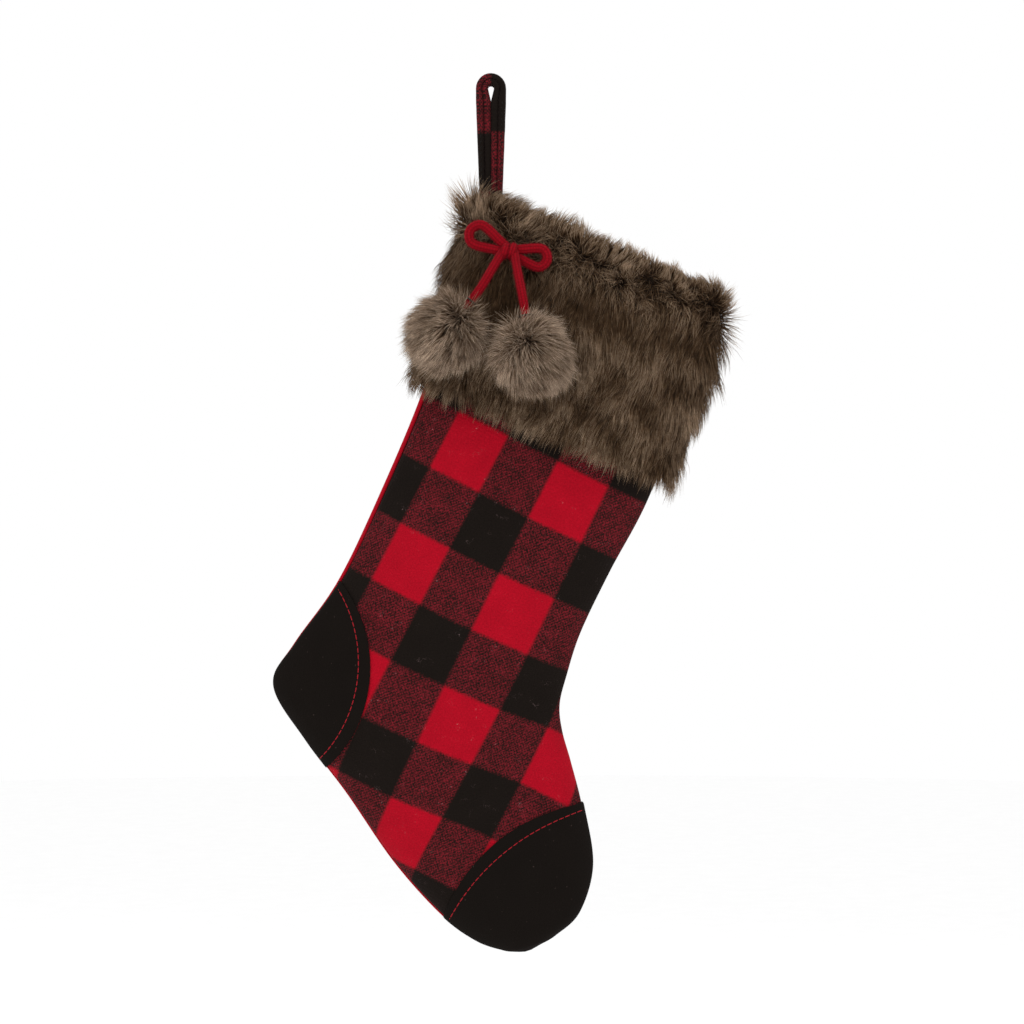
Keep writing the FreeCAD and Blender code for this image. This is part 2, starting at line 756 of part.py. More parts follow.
def make_pom(side):
    outer, thick, neck = size("pom_radius"), size("pom_cover_thick"), size("pom_neck_radius")
    outer_text, inner_text = "Sizes.pom_radius", "(Sizes.pom_radius - Sizes.pom_cover_thick)"
    neck_text = "Sizes.pom_neck_radius"
    inner = outer - thick
    neck_top, neck_top_text = dome_height("pom_radius", "pom_neck_radius")
    neck_low = math.sqrt(inner * inner - neck * neck)
    neck_low_text = f"sqrt({inner_text} * {inner_text} - {neck_text} * {neck_text})"
    place = pom_frame(side)
    cover = turned(
        f"pom_{side}_cover",
        [
            (neck, neck_low, neck_text, neck_low_text, None),
            (neck, neck_top, neck_text, neck_top_text, (outer, 0, outer_text, "0")),
            (0, -outer, "0", f"-{outer_text}", None),
            (0, -inner, "0", f"-{inner_text}", (inner, 0, inner_text, "0")),
        ],
    )
    fill, bore = size("filling_radius"), size("filling_bore")
    fill_top, fill_top_text = dome_height("filling_radius", "filling_bore")
    hollow = size("knot_hollow_radius")
    hollow_top, hollow_top_text = dome_height("knot_hollow_radius", "filling_bore")
    filling = turned(
        f"pom_{side}_filling",
        [
            (bore, hollow_top, "Sizes.filling_bore", hollow_top_text, None),
            (bore, fill_top, "Sizes.filling_bore", fill_top_text,
             (fill, 0, "Sizes.filling_radius", "0")),
            (0, -fill, "0", "-Sizes.filling_radius", None),
            (0, -hollow, "0", "-Sizes.knot_hollow_radius",
             (hollow, 0, "Sizes.knot_hollow_radius", "0")),
        ],
    )
    knot = size("end_knot_radius")
    cord_r = size("cord_radius")
    flat, flat_text = dome_height("end_knot_radius", "cord_radius")
    end_knot = turned(
        f"cord_end_knot_{side}",
        [
            (0, flat, "0", flat_text, None),
            (cord_r, flat, "Sizes.cord_radius", flat_text,
             (knot, 0, "Sizes.end_knot_radius", "0")),
            (0, -knot, "0", "-Sizes.end_knot_radius", None),
        ],
    )
    gather = doc.addObject("Part::Torus", f"pom_{side}_gather_thread")
    gather.Label = f"pom_{side}_gather_thread"
    gather.setExpression("Radius1", "Sizes.gather_radius")
    gather.setExpression("Radius2", "Sizes.gather_thread")
    doc.recompute()
    gather_up = FreeCAD.Placement(Vector(0, 0, (neck_top + neck_low) / 2), FreeCAD.Rotation())
    for piece in (cover, filling, end_knot):
        piece.Placement = place
    gather.Placement = place.multiply(gather_up)
    return flat


def make_tails():
    """Each tail: the short bend at the knot, then the cord down to the knot in its pom-pom."""
    for side, route in TAILS.items():
        flat = make_pom(side)
        start = Vector(*route[0])
        along = (Vector(*route[1]) - start).normalize()
        bend_from = size("knot_radius") + size("strand_gap")
        bend = doc.addObject("Part::Feature", f"tail_{side}_bend")
        bend.Shape = Part.makeCylinder(
            size("cord_radius"), size("bend_length"), start + along * bend_from, along
        )
        bend.Label = f"tail_{side}_bend"
        cord_from = bend_from + size("bend_length") + size("bend_gap")
        cord(f"cord_tail_{side}", route, start_cut=cord_from, end_cut=flat)


# ---------------------------------------------------------------- build, check and write

NODES = [
    "hanging_loop", "loop_edge_stitches", "loop_bartack", "loop_tail",
    "front_panel", "back_panel", "lining_front", "lining_back",
    "heel_patch", "toe_patch", "heel_topstitch", "toe_topstitch",
    "fur_cuff", "cuff_seam_stitches",
    "bow_knot", "bow_loop_left", "bow_loop_right", "bow_tack_thread",
] + [
    name.format(side=side)
    for side in TAILS
    for name in (
        "tail_{side}_bend", "cord_tail_{side}", "cord_end_knot_{side}",
        "pom_{side}_cover", "pom_{side}_filling", "pom_{side}_gather_thread",
    )
]


def check_and_write():
    """Stops on any failed object or bad shape, then writes each node's STEP file."""
    doc.recompute()
    for item in doc.Objects:
        if "Invalid" in item.State or "Error" in item.State:
            raise RuntimeError(f"{item.Label} failed: {item.State}")
    os.makedirs("parts", exist_ok=True)
    for name in NODES:
        piece = doc.getObjectsByLabel(name)[0]
        shape = piece.Shape
        if shape.isNull() or not shape.isValid() or not shape.Solids:
            raise RuntimeError(f"{name} has no valid solid")
        shape.exportStep(f"parts/{name}.step")
        box = shape.BoundBox
        print(f"{name:24s} solids {len(shape.Solids):3d} volume {shape.Volume:10.1f} "
              f"x {box.XMin:7.1f} {box.XMax:7.1f} y {box.YMin:6.1f} {box.YMax:6.1f} "
              f"z {box.ZMin:7.1f} {box.ZMax:7.1f}")


make_boot()
make_patches()
make_fur_cuff()
cuff_seam_stitches()
make_loop()
make_loop_foot()
loop_edge_stitches()
make_bow()
make_tails()
check_and_write()
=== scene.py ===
"""Hanging Christmas stocking: the visible pieces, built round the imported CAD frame.

Metres, in the CAD's frame: +Z up, +X to the toe's side, the front looks along -Y, and the origin is
the middle of the hanging loop's eye. Lengths in millimetres are multiplied by MM.
"""
import bpy
import math
import numpy as np
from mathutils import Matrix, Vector, noise
from mathutils.kdtree import KDTree


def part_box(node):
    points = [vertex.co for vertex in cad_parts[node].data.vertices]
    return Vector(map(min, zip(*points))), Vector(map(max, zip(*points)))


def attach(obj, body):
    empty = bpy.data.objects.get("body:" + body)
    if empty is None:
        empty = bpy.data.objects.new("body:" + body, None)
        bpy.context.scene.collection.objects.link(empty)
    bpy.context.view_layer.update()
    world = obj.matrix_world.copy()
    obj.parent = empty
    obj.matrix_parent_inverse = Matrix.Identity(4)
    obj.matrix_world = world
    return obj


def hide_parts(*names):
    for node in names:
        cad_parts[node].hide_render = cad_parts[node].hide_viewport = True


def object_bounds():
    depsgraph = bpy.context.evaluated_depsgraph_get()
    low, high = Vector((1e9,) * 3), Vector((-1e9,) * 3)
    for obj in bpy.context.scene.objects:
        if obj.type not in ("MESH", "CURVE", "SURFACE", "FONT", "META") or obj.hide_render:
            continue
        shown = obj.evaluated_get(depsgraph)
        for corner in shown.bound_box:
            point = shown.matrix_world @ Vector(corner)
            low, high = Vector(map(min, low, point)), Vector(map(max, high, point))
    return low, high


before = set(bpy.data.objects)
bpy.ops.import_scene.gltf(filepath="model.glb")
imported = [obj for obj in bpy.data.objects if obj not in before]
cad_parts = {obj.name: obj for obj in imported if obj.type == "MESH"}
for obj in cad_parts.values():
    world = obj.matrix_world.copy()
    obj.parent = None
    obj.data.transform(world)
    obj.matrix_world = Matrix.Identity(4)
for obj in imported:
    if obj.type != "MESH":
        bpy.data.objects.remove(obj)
cad_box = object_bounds()

MM = 0.001
SIDES = ("left", "right")


# ---- camera, light and floor

LENS = 100                                 # mm: a long lens, straight in front
CAMERA_PLACE = (0.01365, -1.849, -0.275)   # at the height of the stocking's middle
# Each lamp's place, the point it faces, its diameter and its power.
LAMPS = {
    "key": ((-0.9, -1.6, 0.75), (0, 0, -0.25), 0.9, 9),
    "fill": ((1.2, -1.3, -0.1), (0, 0, -0.3), 1.2, 2),
    "rim": ((0.3, 1.2, 0.8), (0, 0, -0.25), 1.0, 4),
}
FLOOR_RADIUS = 5.0
FLOOR_GAP = 0.35   # from the floor up to the lowest point of the part


def new_object(name, data):
    made = bpy.data.objects.new(name, data)
    bpy.context.collection.objects.link(made)
    return made


def circle_angles(count):
    """Angles evenly round a circle."""
    return np.linspace(0, 2 * math.pi, count + 1)[:-1]


def make_camera():
    data = bpy.data.cameras.new("camera")
    data.lens = LENS
    data.clip_start = 0.01
    camera = new_object("camera", data)
    camera.location = CAMERA_PLACE
    camera.rotation_euler = (math.radians(90), 0, 0)
    bpy.context.scene.camera = camera


def make_lamps():
    for name, (place, aim, size, power) in LAMPS.items():
        data = bpy.data.lights.new(name, "AREA")
        data.shape = "DISK"
        data.size = size
        data.energy = power
        lamp = new_object(name, data)
        lamp.location = place
        lamp.rotation_euler = (Vector(aim) - Vector(place)).to_track_quat("-Z", "Y").to_euler()


def make_world():
    bpy.context.scene.view_settings.view_transform = "Standard"
    world = bpy.data.worlds.new("studio")
    bpy.context.scene.world = world
    world.use_nodes = True
    background = world.node_tree.nodes["Background"]
    background.inputs["Color"].default_value = (1, 1, 1, 1)
    background.inputs["Strength"].default_value = 1.0


def make_floor():
    floor = bpy.data.meshes.new("floor")
    low = cad_box[0].z - FLOOR_GAP
    ring = [(FLOOR_RADIUS * math.cos(a), FLOOR_RADIUS * math.sin(a), low) for a in circle_angles(64)]
    floor.from_pydata(ring, [], [list(range(len(ring)))])
    floor.materials.append(plain_material("floor_paint", (0.99, 0.99, 0.99), 0.9))
    new_object("floor", floor)


# ---- material helpers

class Graph:
    """A material's node tree, with one short call for each kind of node used here."""

    def __init__(self, name):
        self.material = bpy.data.materials.new(name)
        self.material.use_nodes = True
        self.tree = self.material.node_tree
        self.shader = self.tree.nodes["Principled BSDF"]
        self.shader.inputs["Specular IOR Level"].default_value = 0.06

    def feed(self, value, socket):
        """Links a socket or writes a constant."""
        if isinstance(value, bpy.types.NodeSocket):
            self.tree.links.new(value, socket)
        elif isinstance(value, tuple) and len(value) == 3 and len(socket.default_value) == 4:
            socket.default_value = (*value, 1.0)
        else:
            socket.default_value = value

    def node(self, kind, inputs, **settings):
        """The outputs of a new node, with its inputs fed by name or number."""
        made = self.tree.nodes.new(kind)
        for key, value in settings.items():
            setattr(made, key, value)
        for key, value in inputs.items():
            self.feed(value, made.inputs[key])
        return made.outputs

    def math(self, operation, a, b=0.0):
        return self.node("ShaderNodeMath", {0: a, 1: b}, operation=operation)[0]

    def plus(self, a, b):
        return self.math("ADD", a, b)

    def minus(self, a, b):
        return self.math("SUBTRACT", a, b)

    def times(self, a, b):
        return self.math("MULTIPLY", a, b)

    def sine(self, a):
        return self.math("SINE", a)

    def mix(self, share, a, b):
        return self.node("ShaderNodeMix", {0: share, 6: a, 7: b}, data_type="RGBA")[2]

    def ramp(self, value, low, high, to_low=0.0, to_high=1.0):
        """A value's range, mapped and clamped."""
        inputs = dict(enumerate((value, low, high, to_low, to_high)))
        return self.node("ShaderNodeMapRange", inputs)[0]

    def noise(self, vector, scale, detail=2.0, roughness=0.5):
        inputs = {"Vector": vector, "Scale": scale, "Detail": detail, "Roughness": roughness}
        return self.node("ShaderNodeTexNoise", inputs)["Fac"]

    def brightened(self, colour, value):
        return self.node("ShaderNodeHueSaturation", {"Color": colour, "Value": value})[0]

    def place(self):
        """Position on the piece, in metres."""
        return self.node("ShaderNodeTexCoord", {})["Object"]

    def split(self, vector):
        return self.node("ShaderNodeSeparateXYZ", {0: vector})

    def attribute(self, name):
        return self.node("ShaderNodeAttribute", {}, attribute_name=name)["Fac"]

    def bump(self, height, strength, distance):
        inputs = {"Height": height, "Strength": strength, "Distance": distance}
        return self.node("ShaderNodeBump", inputs)[0]

    def finish(self, colour, roughness, normal=None, sheen=0.0, sheen_tint=(1.0, 1.0, 1.0)):
        inputs = {
            "Base Color": colour, "Roughness": roughness, "Sheen Weight": sheen,
            "Sheen Roughness": 0.5, "Sheen Tint": sheen_tint,
        }
        if normal is not None:
            inputs["Normal"] = normal
        for key, value in inputs.items():
            self.feed(value, self.shader.inputs[key])
        return self.material


def shade(colour, share):
    return tuple(share * c for c in colour)


def plain_material(name, colour, roughness):
    """Fine grain only, for the studio floor."""
    g = Graph(name)
    tone = g.ramp(g.noise(g.place(), 30), 0.3, 0.7)
    return g.finish(g.mix(tone, colour, shade(colour, 0.985)), roughness)


make_camera()
make_world()
make_lamps()
make_floor()


# ---- materials

RED = (0.355, 0.0024, 0.0120)
BLACK = (0.0078, 0.0055, 0.0042)
MELANGE_DARK = (0.0105, 0.0055, 0.0045)
MELANGE_RED = (0.180, 0.011, 0.018)
LINT = (0.45, 0.30, 0.30)
CHECK_CENTRE = (-0.0143, -0.236)   # middle of one red square on the front
CHECK_ACROSS = (0.0319, -0.0163)   # from it to the next square along one row
CHECK_DOWN = (-0.0189, -0.0361)    # and along one column
YARN_PITCH = 2.2 * MM
STRIPE_EDGE = 0.09                 # how softly the stripes meet, as a cosine
WOBBLE = 2.8 * MM                  # range of the stripes' unevenness


def check_coordinates(g, across_sheet, down_sheet):
    """How many squares along its rows and its columns a point of the sheet is."""
    (ax, az), (dx, dz) = CHECK_ACROSS, CHECK_DOWN
    area = ax * dz - az * dx
    x = g.minus(across_sheet, CHECK_CENTRE[0])
    z = g.minus(down_sheet, CHECK_CENTRE[1])
    row = g.plus(g.times(x, dz / area), g.times(z, -dx / area))
    column = g.plus(g.times(x, -az / area), g.times(z, ax / area))
    return row, column


def stripe(g, squares):
    """1 on the red stripes and 0 on the black ones, with a soft edge."""
    return g.ramp(g.math("COSINE", g.times(squares, math.pi)), -STRIPE_EDGE, STRIPE_EDGE)


def lint(g, sheet):
    """A few pale hairs: the level lines of a noise, in patches."""
    hairs = g.ramp(g.noise(sheet, 260, 1.0), 0.497, 0.503)
    hairs = g.times(g.times(hairs, g.minus(1.0, hairs)), 4.0)
    return g.times(hairs, g.ramp(g.noise(sheet, 120, 2.0), 0.60, 0.68, 0.0, 0.35))


def check_material(name):
    """Brushed wool check: red and black stripes both ways, mottled dark red where they cross."""
    g = Graph(name)
    sheet = g.node("ShaderNodeUVMap", {}, uv_map="cloth")[0]
    across, down, _ = g.split(sheet)
    wobble = g.times(g.minus(g.noise(sheet, 700, 3.0), 0.5), WOBBLE)
    row, column = check_coordinates(g, g.plus(across, wobble), g.plus(down, wobble))
    warp, weft = stripe(g, row), stripe(g, column)
    turn = 2 * math.pi * math.hypot(*CHECK_ACROSS) / YARN_PITCH
    yarn_row, yarn_column = g.sine(g.times(row, turn)), g.sine(g.times(column, turn))
    fine = g.noise(sheet, 1150, 3.0, 0.75)
    coarse = g.noise(sheet, 640, 2.0)
    blotch = g.minus(g.noise(sheet, 95, 2.0), 0.5)
    showing = g.plus(g.times(fine, 0.62), g.times(coarse, 0.38))
    showing = g.plus(showing, g.times(g.times(yarn_row, yarn_column), 0.085))
    showing = g.plus(showing, g.times(blotch, 0.16))
    mottle = g.mix(g.ramp(showing, 0.43, 0.64), MELANGE_DARK, MELANGE_RED)
    either = g.math("MAXIMUM", warp, weft)
    colour = g.mix(g.times(warp, weft), g.mix(either, BLACK, mottle), RED)
    colour = g.mix(lint(g, sheet), colour, LINT)
    nap = g.ramp(g.noise(sheet, 850, 4.0, 0.7), 0.3, 0.7, 0.80, 1.20)
    cloud = g.ramp(g.noise(sheet, 60, 3.0), 0.3, 0.7, 0.92, 1.06)
    colour = g.brightened(colour, g.times(nap, cloud))
    ribs = g.times(g.plus(yarn_row, yarn_column), 0.5)
    fuzz = g.times(g.noise(sheet, 1300, 4.0, 0.75), 3.0)
    return g.finish(colour, 0.92, g.bump(g.plus(ribs, fuzz), 0.5, 0.25 * MM), 0.03, (1.0, 0.6, 0.6))


def felt_material(name, colour, fleck, sheen=0.03):
    """Brushed felt: matted grain, soft blotches and a few paler flecks."""
    g = Graph(name)
    where = g.place()
    fibre = g.noise(where, 1600, 4.0, 0.7)
    dark = shade(colour, 0.72)
    base = g.mix(g.ramp(fibre, 0.35, 0.7), dark, colour)
    base = g.mix(g.ramp(g.noise(where, 55, 3.0), 0.35, 0.7, 0.0, 0.6), base, dark)
    flecks = g.ramp(g.noise(where, 420, 2.0, 0.4), 0.74, 0.78)
    base = g.mix(g.times(flecks, 0.5), base, fleck)
    normal = g.bump(g.plus(fibre, g.noise(where, 500, 3.0)), 0.45, 0.3 * MM)
    return g.finish(base, 0.95, normal, sheen, (1.0, 0.9, 0.85))


def thread_material(name, colour):
    """Twisted sewing thread: fine slanted ribs."""
    g = Graph(name)
    inputs = {"Vector": g.place(), "Scale": 1700.0, "Distortion": 1.5}
    kind = {"wave_type": "BANDS", "bands_direction": "DIAGONAL"}
    ribs = g.node("ShaderNodeTexWave", inputs, **kind)["Fac"]
    base = g.mix(ribs, shade(colour, 0.6), colour)
    return g.finish(base, 0.7, g.bump(ribs, 0.5, 0.15 * MM), 0.05)


def cord_material():
    """Woollen knitted cord: deep red, with shade painted into the hollows between the stitches."""
    g = Graph("knitted_cord")
    fibre = g.noise(g.place(), 2200, 4.0, 0.7)
    # Painted shade: darker red in the hollows between the stitches, fuller red on their crowns.
    base = g.mix(g.attribute("raised"), (0.105, 0.0008, 0.003), (0.265, 0.0025, 0.009))
    base = g.mix(g.ramp(fibre, 0.35, 0.75, 0.0, 0.35), base, (0.34, 0.008, 0.016))
    return g.finish(base, 0.95, g.bump(fibre, 0.6, 0.25 * MM), 0.04, (1.0, 0.3, 0.35))


def fur_material(name, root, middle, tip):
    """Fibres dark at the root and pale at the tip, each a little different."""
    g = Graph(name)
    along, tone = g.attribute("along"), g.attribute("tone")
    low = g.mix(g.ramp(along, 0.16, 0.74), root, middle)
    colour = g.mix(g.ramp(along, 0.45, 1.0), low, g.mix(tone, middle, tip))
    streak = g.ramp(g.noise(g.place(), 260, 2.0), 0.35, 0.7, 0.75, 1.2)
    return g.finish(g.brightened(colour, g.times(streak, g.ramp(tone, 0.0, 1.0, 0.62, 1.15))), 0.6)


def backing_material(name, colour):
    """The knitted backing under the pile, with small ribs."""
    g = Graph(name)
    rib = g.noise(g.place(), 800, 2.0)
    base = g.mix(g.ramp(rib, 0.3, 0.7), shade(colour, 0.5), colour)
    return g.finish(base, 0.95, g.bump(rib, 0.5, 0.4 * MM))


def lining_material(name, colour):
    """Plain-woven lining: a fine even basket of threads."""
    g = Graph(name)
    x, _, z = g.split(g.place())
    pitch = 2 * math.pi / (0.6 * MM)
    weave = g.times(g.sine(g.times(x, pitch)), g.sine(g.times(z, pitch)))
    base = g.mix(g.ramp(weave, -1.0, 1.0), shade(colour, 0.7), colour)
    return g.finish(base, 0.6, g.bump(weave, 0.35, 0.1 * MM), 0.1)


def filling_material():
    """Loose white fibre, clotted into soft lumps."""
    g = Graph("fibre_filling")
    clot = g.noise(g.place(), 180, 5.0, 0.7)
    base = g.mix(g.ramp(clot, 0.3, 0.7), (0.62, 0.61, 0.58), (0.86, 0.85, 0.82))
    return g.finish(base, 1.0, g.bump(clot, 0.8, 1.0 * MM))


CHECK = check_material("check_cloth")
STRAP = check_material("strap_cloth")
CORD_FUZZ = thread_material("cord_fuzz", (0.30, 0.003, 0.010))
RED_FELT = felt_material("red_felt", (0.42, 0.0035, 0.014), (0.60, 0.10, 0.10))
BLACK_FELT = felt_material("black_felt", (0.0078, 0.0056, 0.0044), (0.06, 0.04, 0.035), 0.01)
RED_THREAD = thread_material("red_thread", (0.40, 0.012, 0.022))
BLACK_THREAD = thread_material("black_thread", (0.010, 0.008, 0.007))
BROWN_THREAD = thread_material("brown_thread", (0.06, 0.04, 0.03))
CORD = cord_material()
FUR = fur_material("fur", (0.018, 0.009, 0.0045), (0.150, 0.085, 0.043), (0.50, 0.365, 0.25))
POM_FUR = fur_material("pom_fur", (0.050, 0.029, 0.017), (0.26, 0.170, 0.108), (0.68, 0.53, 0.40))
BACKING = backing_material("fur_backing", (0.035, 0.024, 0.018))
LINING = lining_material("lining", (0.36, 0.010, 0.018))
FILLING = filling_material()


# ---- mesh helpers

def add_piece(mesh, material, body, slot_name, *nodes):
    """A new object with a material and body, which hides the CAD nodes that it replaces. slot_name is
    not used.
    """
    piece = new_object(mesh.name, mesh)
    mesh.materials.append(material)
    mesh.polygons.foreach_set("use_smooth", [True] * len(mesh.polygons))
    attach(piece, body)
    if nodes:
        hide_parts(*nodes)
    return piece


def grid_faces(rows, columns, closed=False):
    """Quads of a grid whose vertices run row by row; closed joins its last column to its first."""
    faces = []
    for above in range(0, (rows - 1) * columns, columns):
        below = above + columns
        for c in range(columns if closed else columns - 1):
            after = (c + 1) % columns
            faces.append((above + c, below + c, below + after, above + after))
    return faces


def grid_mesh(name, points, closed=False, sheet=None):
    """A mesh from an array of rows x columns x 3, with an optional array of flat cloth places."""
    rows, columns = points.shape[:2]
    mesh = bpy.data.meshes.new(name)
    mesh.from_pydata(points.reshape(-1, 3).tolist(), [], grid_faces(rows, columns, closed))
    if sheet is not None:
        layer = mesh.uv_layers.new(name="cloth")
        corner = np.empty(len(mesh.loops), int)
        mesh.loops.foreach_get("vertex_index", corner)
        layer.data.foreach_set("uv", sheet.reshape(-1, 2)[corner].ravel())
    return mesh


def unit(vectors):
    return vectors / np.maximum(np.linalg.norm(vectors, axis=-1, keepdims=True), 1e-12)


def add_attribute(mesh, name, values):
    """A number for each vertex, which a material can read."""
    mesh.attributes.new(name, "FLOAT", "POINT").data.foreach_set("value", values)


def normals_of(points, closed=False):
    """Unit normals of a grid, from its neighbours along rows and columns."""
    if closed:
        across = np.roll(points, -1, 1) - np.roll(points, 1, 1)
    else:
        across = np.gradient(points, axis=1)
    return unit(np.cross(np.gradient(points, axis=0), across))


def through(rows, per_span):
    """A Catmull-Rom curve through rows of numbers."""
    rows = np.array(rows, float)
    padded = np.vstack([2 * rows[0] - rows[1], rows, 2 * rows[-1] - rows[-2]])
    made = []
    for a, b, c, d in zip(padded, padded[1:], padded[2:], padded[3:]):
        for t in np.arange(per_span) / per_span:
            squared, cubed = 2 * a - 5 * b + 4 * c - d, 3 * b - a - 3 * c + d
            made.append(0.5 * (2 * b + (c - a) * t + squared * t**2 + cubed * t**3))
    made.append(rows[-1])
    return np.array(made)


def running(line):
    """How far along a line each of its points is."""
    return np.concatenate([[0], np.cumsum(np.linalg.norm(np.diff(line, axis=0), axis=1))])


def thicken(piece, thickness, offset, smooth=True):
    """A cloth's thickness in mm, inward with the offset -1 and outward with 1."""
    layer = piece.modifiers.new("thickness", "SOLIDIFY")
    layer.thickness = thickness * MM
    layer.offset = offset
    if smooth:
        layer = piece.modifiers.new("smooth", "SUBSURF")
        layer.levels = layer.render_levels = 1


# ---- the boot

# Rows across the boot from the mouth to the toe, in mm: left edge x and z, right edge x and z, how
# far the front and the back each stand off the middle plane, and how much of the back's cloth
# shows round the left edge.
BOOT = [
    (-13, -82, 148, -140, 17, 4.5),
    (-20.5, -109.5, 139, -166, 18, 4.5),
    (-28, -137, 129.5, -192, 19, 4.5),
    (-45, -197, 104, -264, 20, 3.6),
    (-75, -268.5, 78, -313.5, 20, 3.1),
    (-100.5, -321, 59, -353, 20, 2.2),
    (-128.5, -360.5, 50, -381, 20, 1.6),
    (-142, -387, 45.5, -400, 20, 0.6),
    (-121, -422.5, 47, -417, 20, 0.3),
    (-94.5, -457.5, 52.5, -437, 20, 0.5),
    (-63.5, -502.5, 60, -467, 19, 0.7),
    (-33, -536.5, 65.5, -504, 16, 0.7),
    (-11, -552.5, 57, -534, 12, 0.5),
    (6, -558.6, 42, -548.5, 8, 0.5),
    (14, -559.6, 32, -554.5, 5, 0.2),
    (20, -559.8, 26, -558, 2, 0.1),
]
RIGHT_SEAM = 0.6   # mm by which the front's cloth reaches round the right edge
SEAM_PINCH = 1.3   # mm by which the stitches pull both cloths in
SEAM_REACH = 3.0   # mm over which they do
LINING_INSET = 3.4
FRONT, BACK = -1, 1
BROAD_SWELL = {FRONT: 2.4, BACK: 3.6}


def cross_section(width, depth):
    """The closed line round the boot at one row: across (from the left edge) and depth, through the
    front first, with its running length."""
    c = np.cos(np.linspace(math.pi, 0, 81))
    y = depth * (1 - np.abs(c) ** 2.5) ** 0.6
    s = width / 2 * (1 + c)
    line = np.vstack([np.column_stack([s, -y]), np.column_stack([s, y])[::-1][1:]])
    return line, running(line)


def folds(x, z, side):
    """Soft unevenness of the hanging cloth, in mm: broad swells and a few creases at the ankle."""
    swell = noise.noise(Vector((x * 0.013, side * 5.0, z * 0.011))) * BROAD_SWELL[side]
    swell += noise.noise(Vector((x * 0.035, side * 9.0, z * 0.03))) * 0.8
    near_ankle = math.exp(-(((x - 25) / 55) ** 2) - ((z + 402) / 38) ** 2)
    crease = math.sin((z + 0.55 * x) / 6.5 + 2.0 * noise.noise(Vector((x * 0.02, side, 0))))
    return swell + 0.9 * near_ankle * crease


def row_frame(left_x, left_z, right_x, right_z):
    """A row's left end, its direction and its width."""
    left, span = np.array([left_x, left_z]), np.array([right_x - left_x, right_z - left_z])
    width = np.linalg.norm(span)
    return left, span / width, width


def on_row(left, along, across, deep):
    """The places so far across and so deep from a row's left end."""
    return np.column_stack([left[0] + along[0] * across, deep, left[1] + along[1] * across])


def smooth_step(value, low, high):
    share = np.clip((value - low) / (high - low), 0, 1)
    return share * share * (3 - 2 * share)


def cloth_drift(flat):
    """How far the check has drifted where the foot turns out of the leg, in mm."""
    from_heel = 0.707 * (flat[:, 0] + 130) - 0.707 * (flat[:, 1] + 400)
    across, down = smooth_step(from_heel, 25, 110), smooth_step(from_heel, 85, 150)
    return np.column_stack([7.0 * across, 6.5 * down])


def boot_grid(side, columns, per_span=9, inset=0.0):
    """One cloth of the boot as a grid of places, with their flat places on it, in metres."""
    places, flat = [], []
    for left_x, left_z, right_x, right_z, depth, seam in through(BOOT, per_span):
        left, along, width = row_frame(left_x, left_z, right_x, right_z)
        line, run = cross_section(width - 2 * inset, max(depth - inset, 0.4))
        whole, half = run[-1], run[-1] / 2
        first, second = min(max(seam, 0.0) + 1.5, 0.15 * half), half + RIGHT_SEAM
        start, end = (first, second) if side == FRONT else (second, whole + first)
        reach = np.linspace(start, end, columns)
        edge = np.minimum(reach - start, end - reach)
        pinch = 0 * edge if inset else SEAM_PINCH * np.clip(1 - edge / SEAM_REACH, 0, 1) ** 2
        s = np.interp(reach % whole, run, line[:, 0]) + inset
        y = np.interp(reach % whole, run, line[:, 1])
        lift = np.array([
            folds(*(left + along * across), side) * min(1.0, depth / 16) * min(1, e / 12)
            for across, e in zip(s, edge)
        ])
        y = y * (1 - pinch / np.maximum(np.abs(y), pinch + 1)) + side * lift
        s = s + np.sign(width / 2 - s) * pinch * 0.7
        centre_run = half / 2 if side == FRONT else half * 1.5
        sheet = left + along * width / 2 + np.outer((reach - centre_run) * -side, along)
        sheet -= cloth_drift(sheet)
        places.append(on_row(left, along, s, y))
        flat.append(sheet)
    return np.array(places) * MM, np.array(flat) * MM


def boot_cloth(name, grid, material, slot_name, node):
    places, flat = grid
    mesh = grid_mesh(name, places, sheet=flat)
    cloth = add_piece(mesh, material, "stocking", slot_name, node)
    return cloth


def make_boot():
    sides = {"front": (FRONT, CHECK, "check_fabric"), "back": (BACK, RED_FELT, "red_felt")}
    for name, (side, *look) in sides.items():
        cloth = boot_cloth(f"{name}_cloth", boot_grid(side, 90), *look, f"{name}_panel")
        thicken(cloth, 1.6, -1)
    for name, (side, *_) in sides.items():
        grid = boot_grid(side, 60, per_span=4, inset=LINING_INSET)
        boot_cloth(f"{name}_lining", grid, LINING, "lining_fabric", f"lining_{name}")


# ---- patches and their stitching

# Each patch's two circles, in mm: centre x and z, and radius.
PATCHES = {
    "heel": {"edge": (-164.7, -375.5, 87.4), "stitches": (-173.3, -372.4, 88.2)},
    "toe": {"edge": (71.0, -569.4, 106.3), "stitches": (93.8, -598.3, 134.6)},
}
PATCH_STAND = 0.4   # mm from the front's cloth to a patch
STITCH_PITCH = 4.2
STITCH_LENGTH = 3.5
# Along a stitch: share of its length, and share of its thickness.
STITCH_PROFILE = [(0.0, 0.25), (0.12, 0.8), (0.5, 1.0), (0.88, 0.8), (1.0, 0.25)]


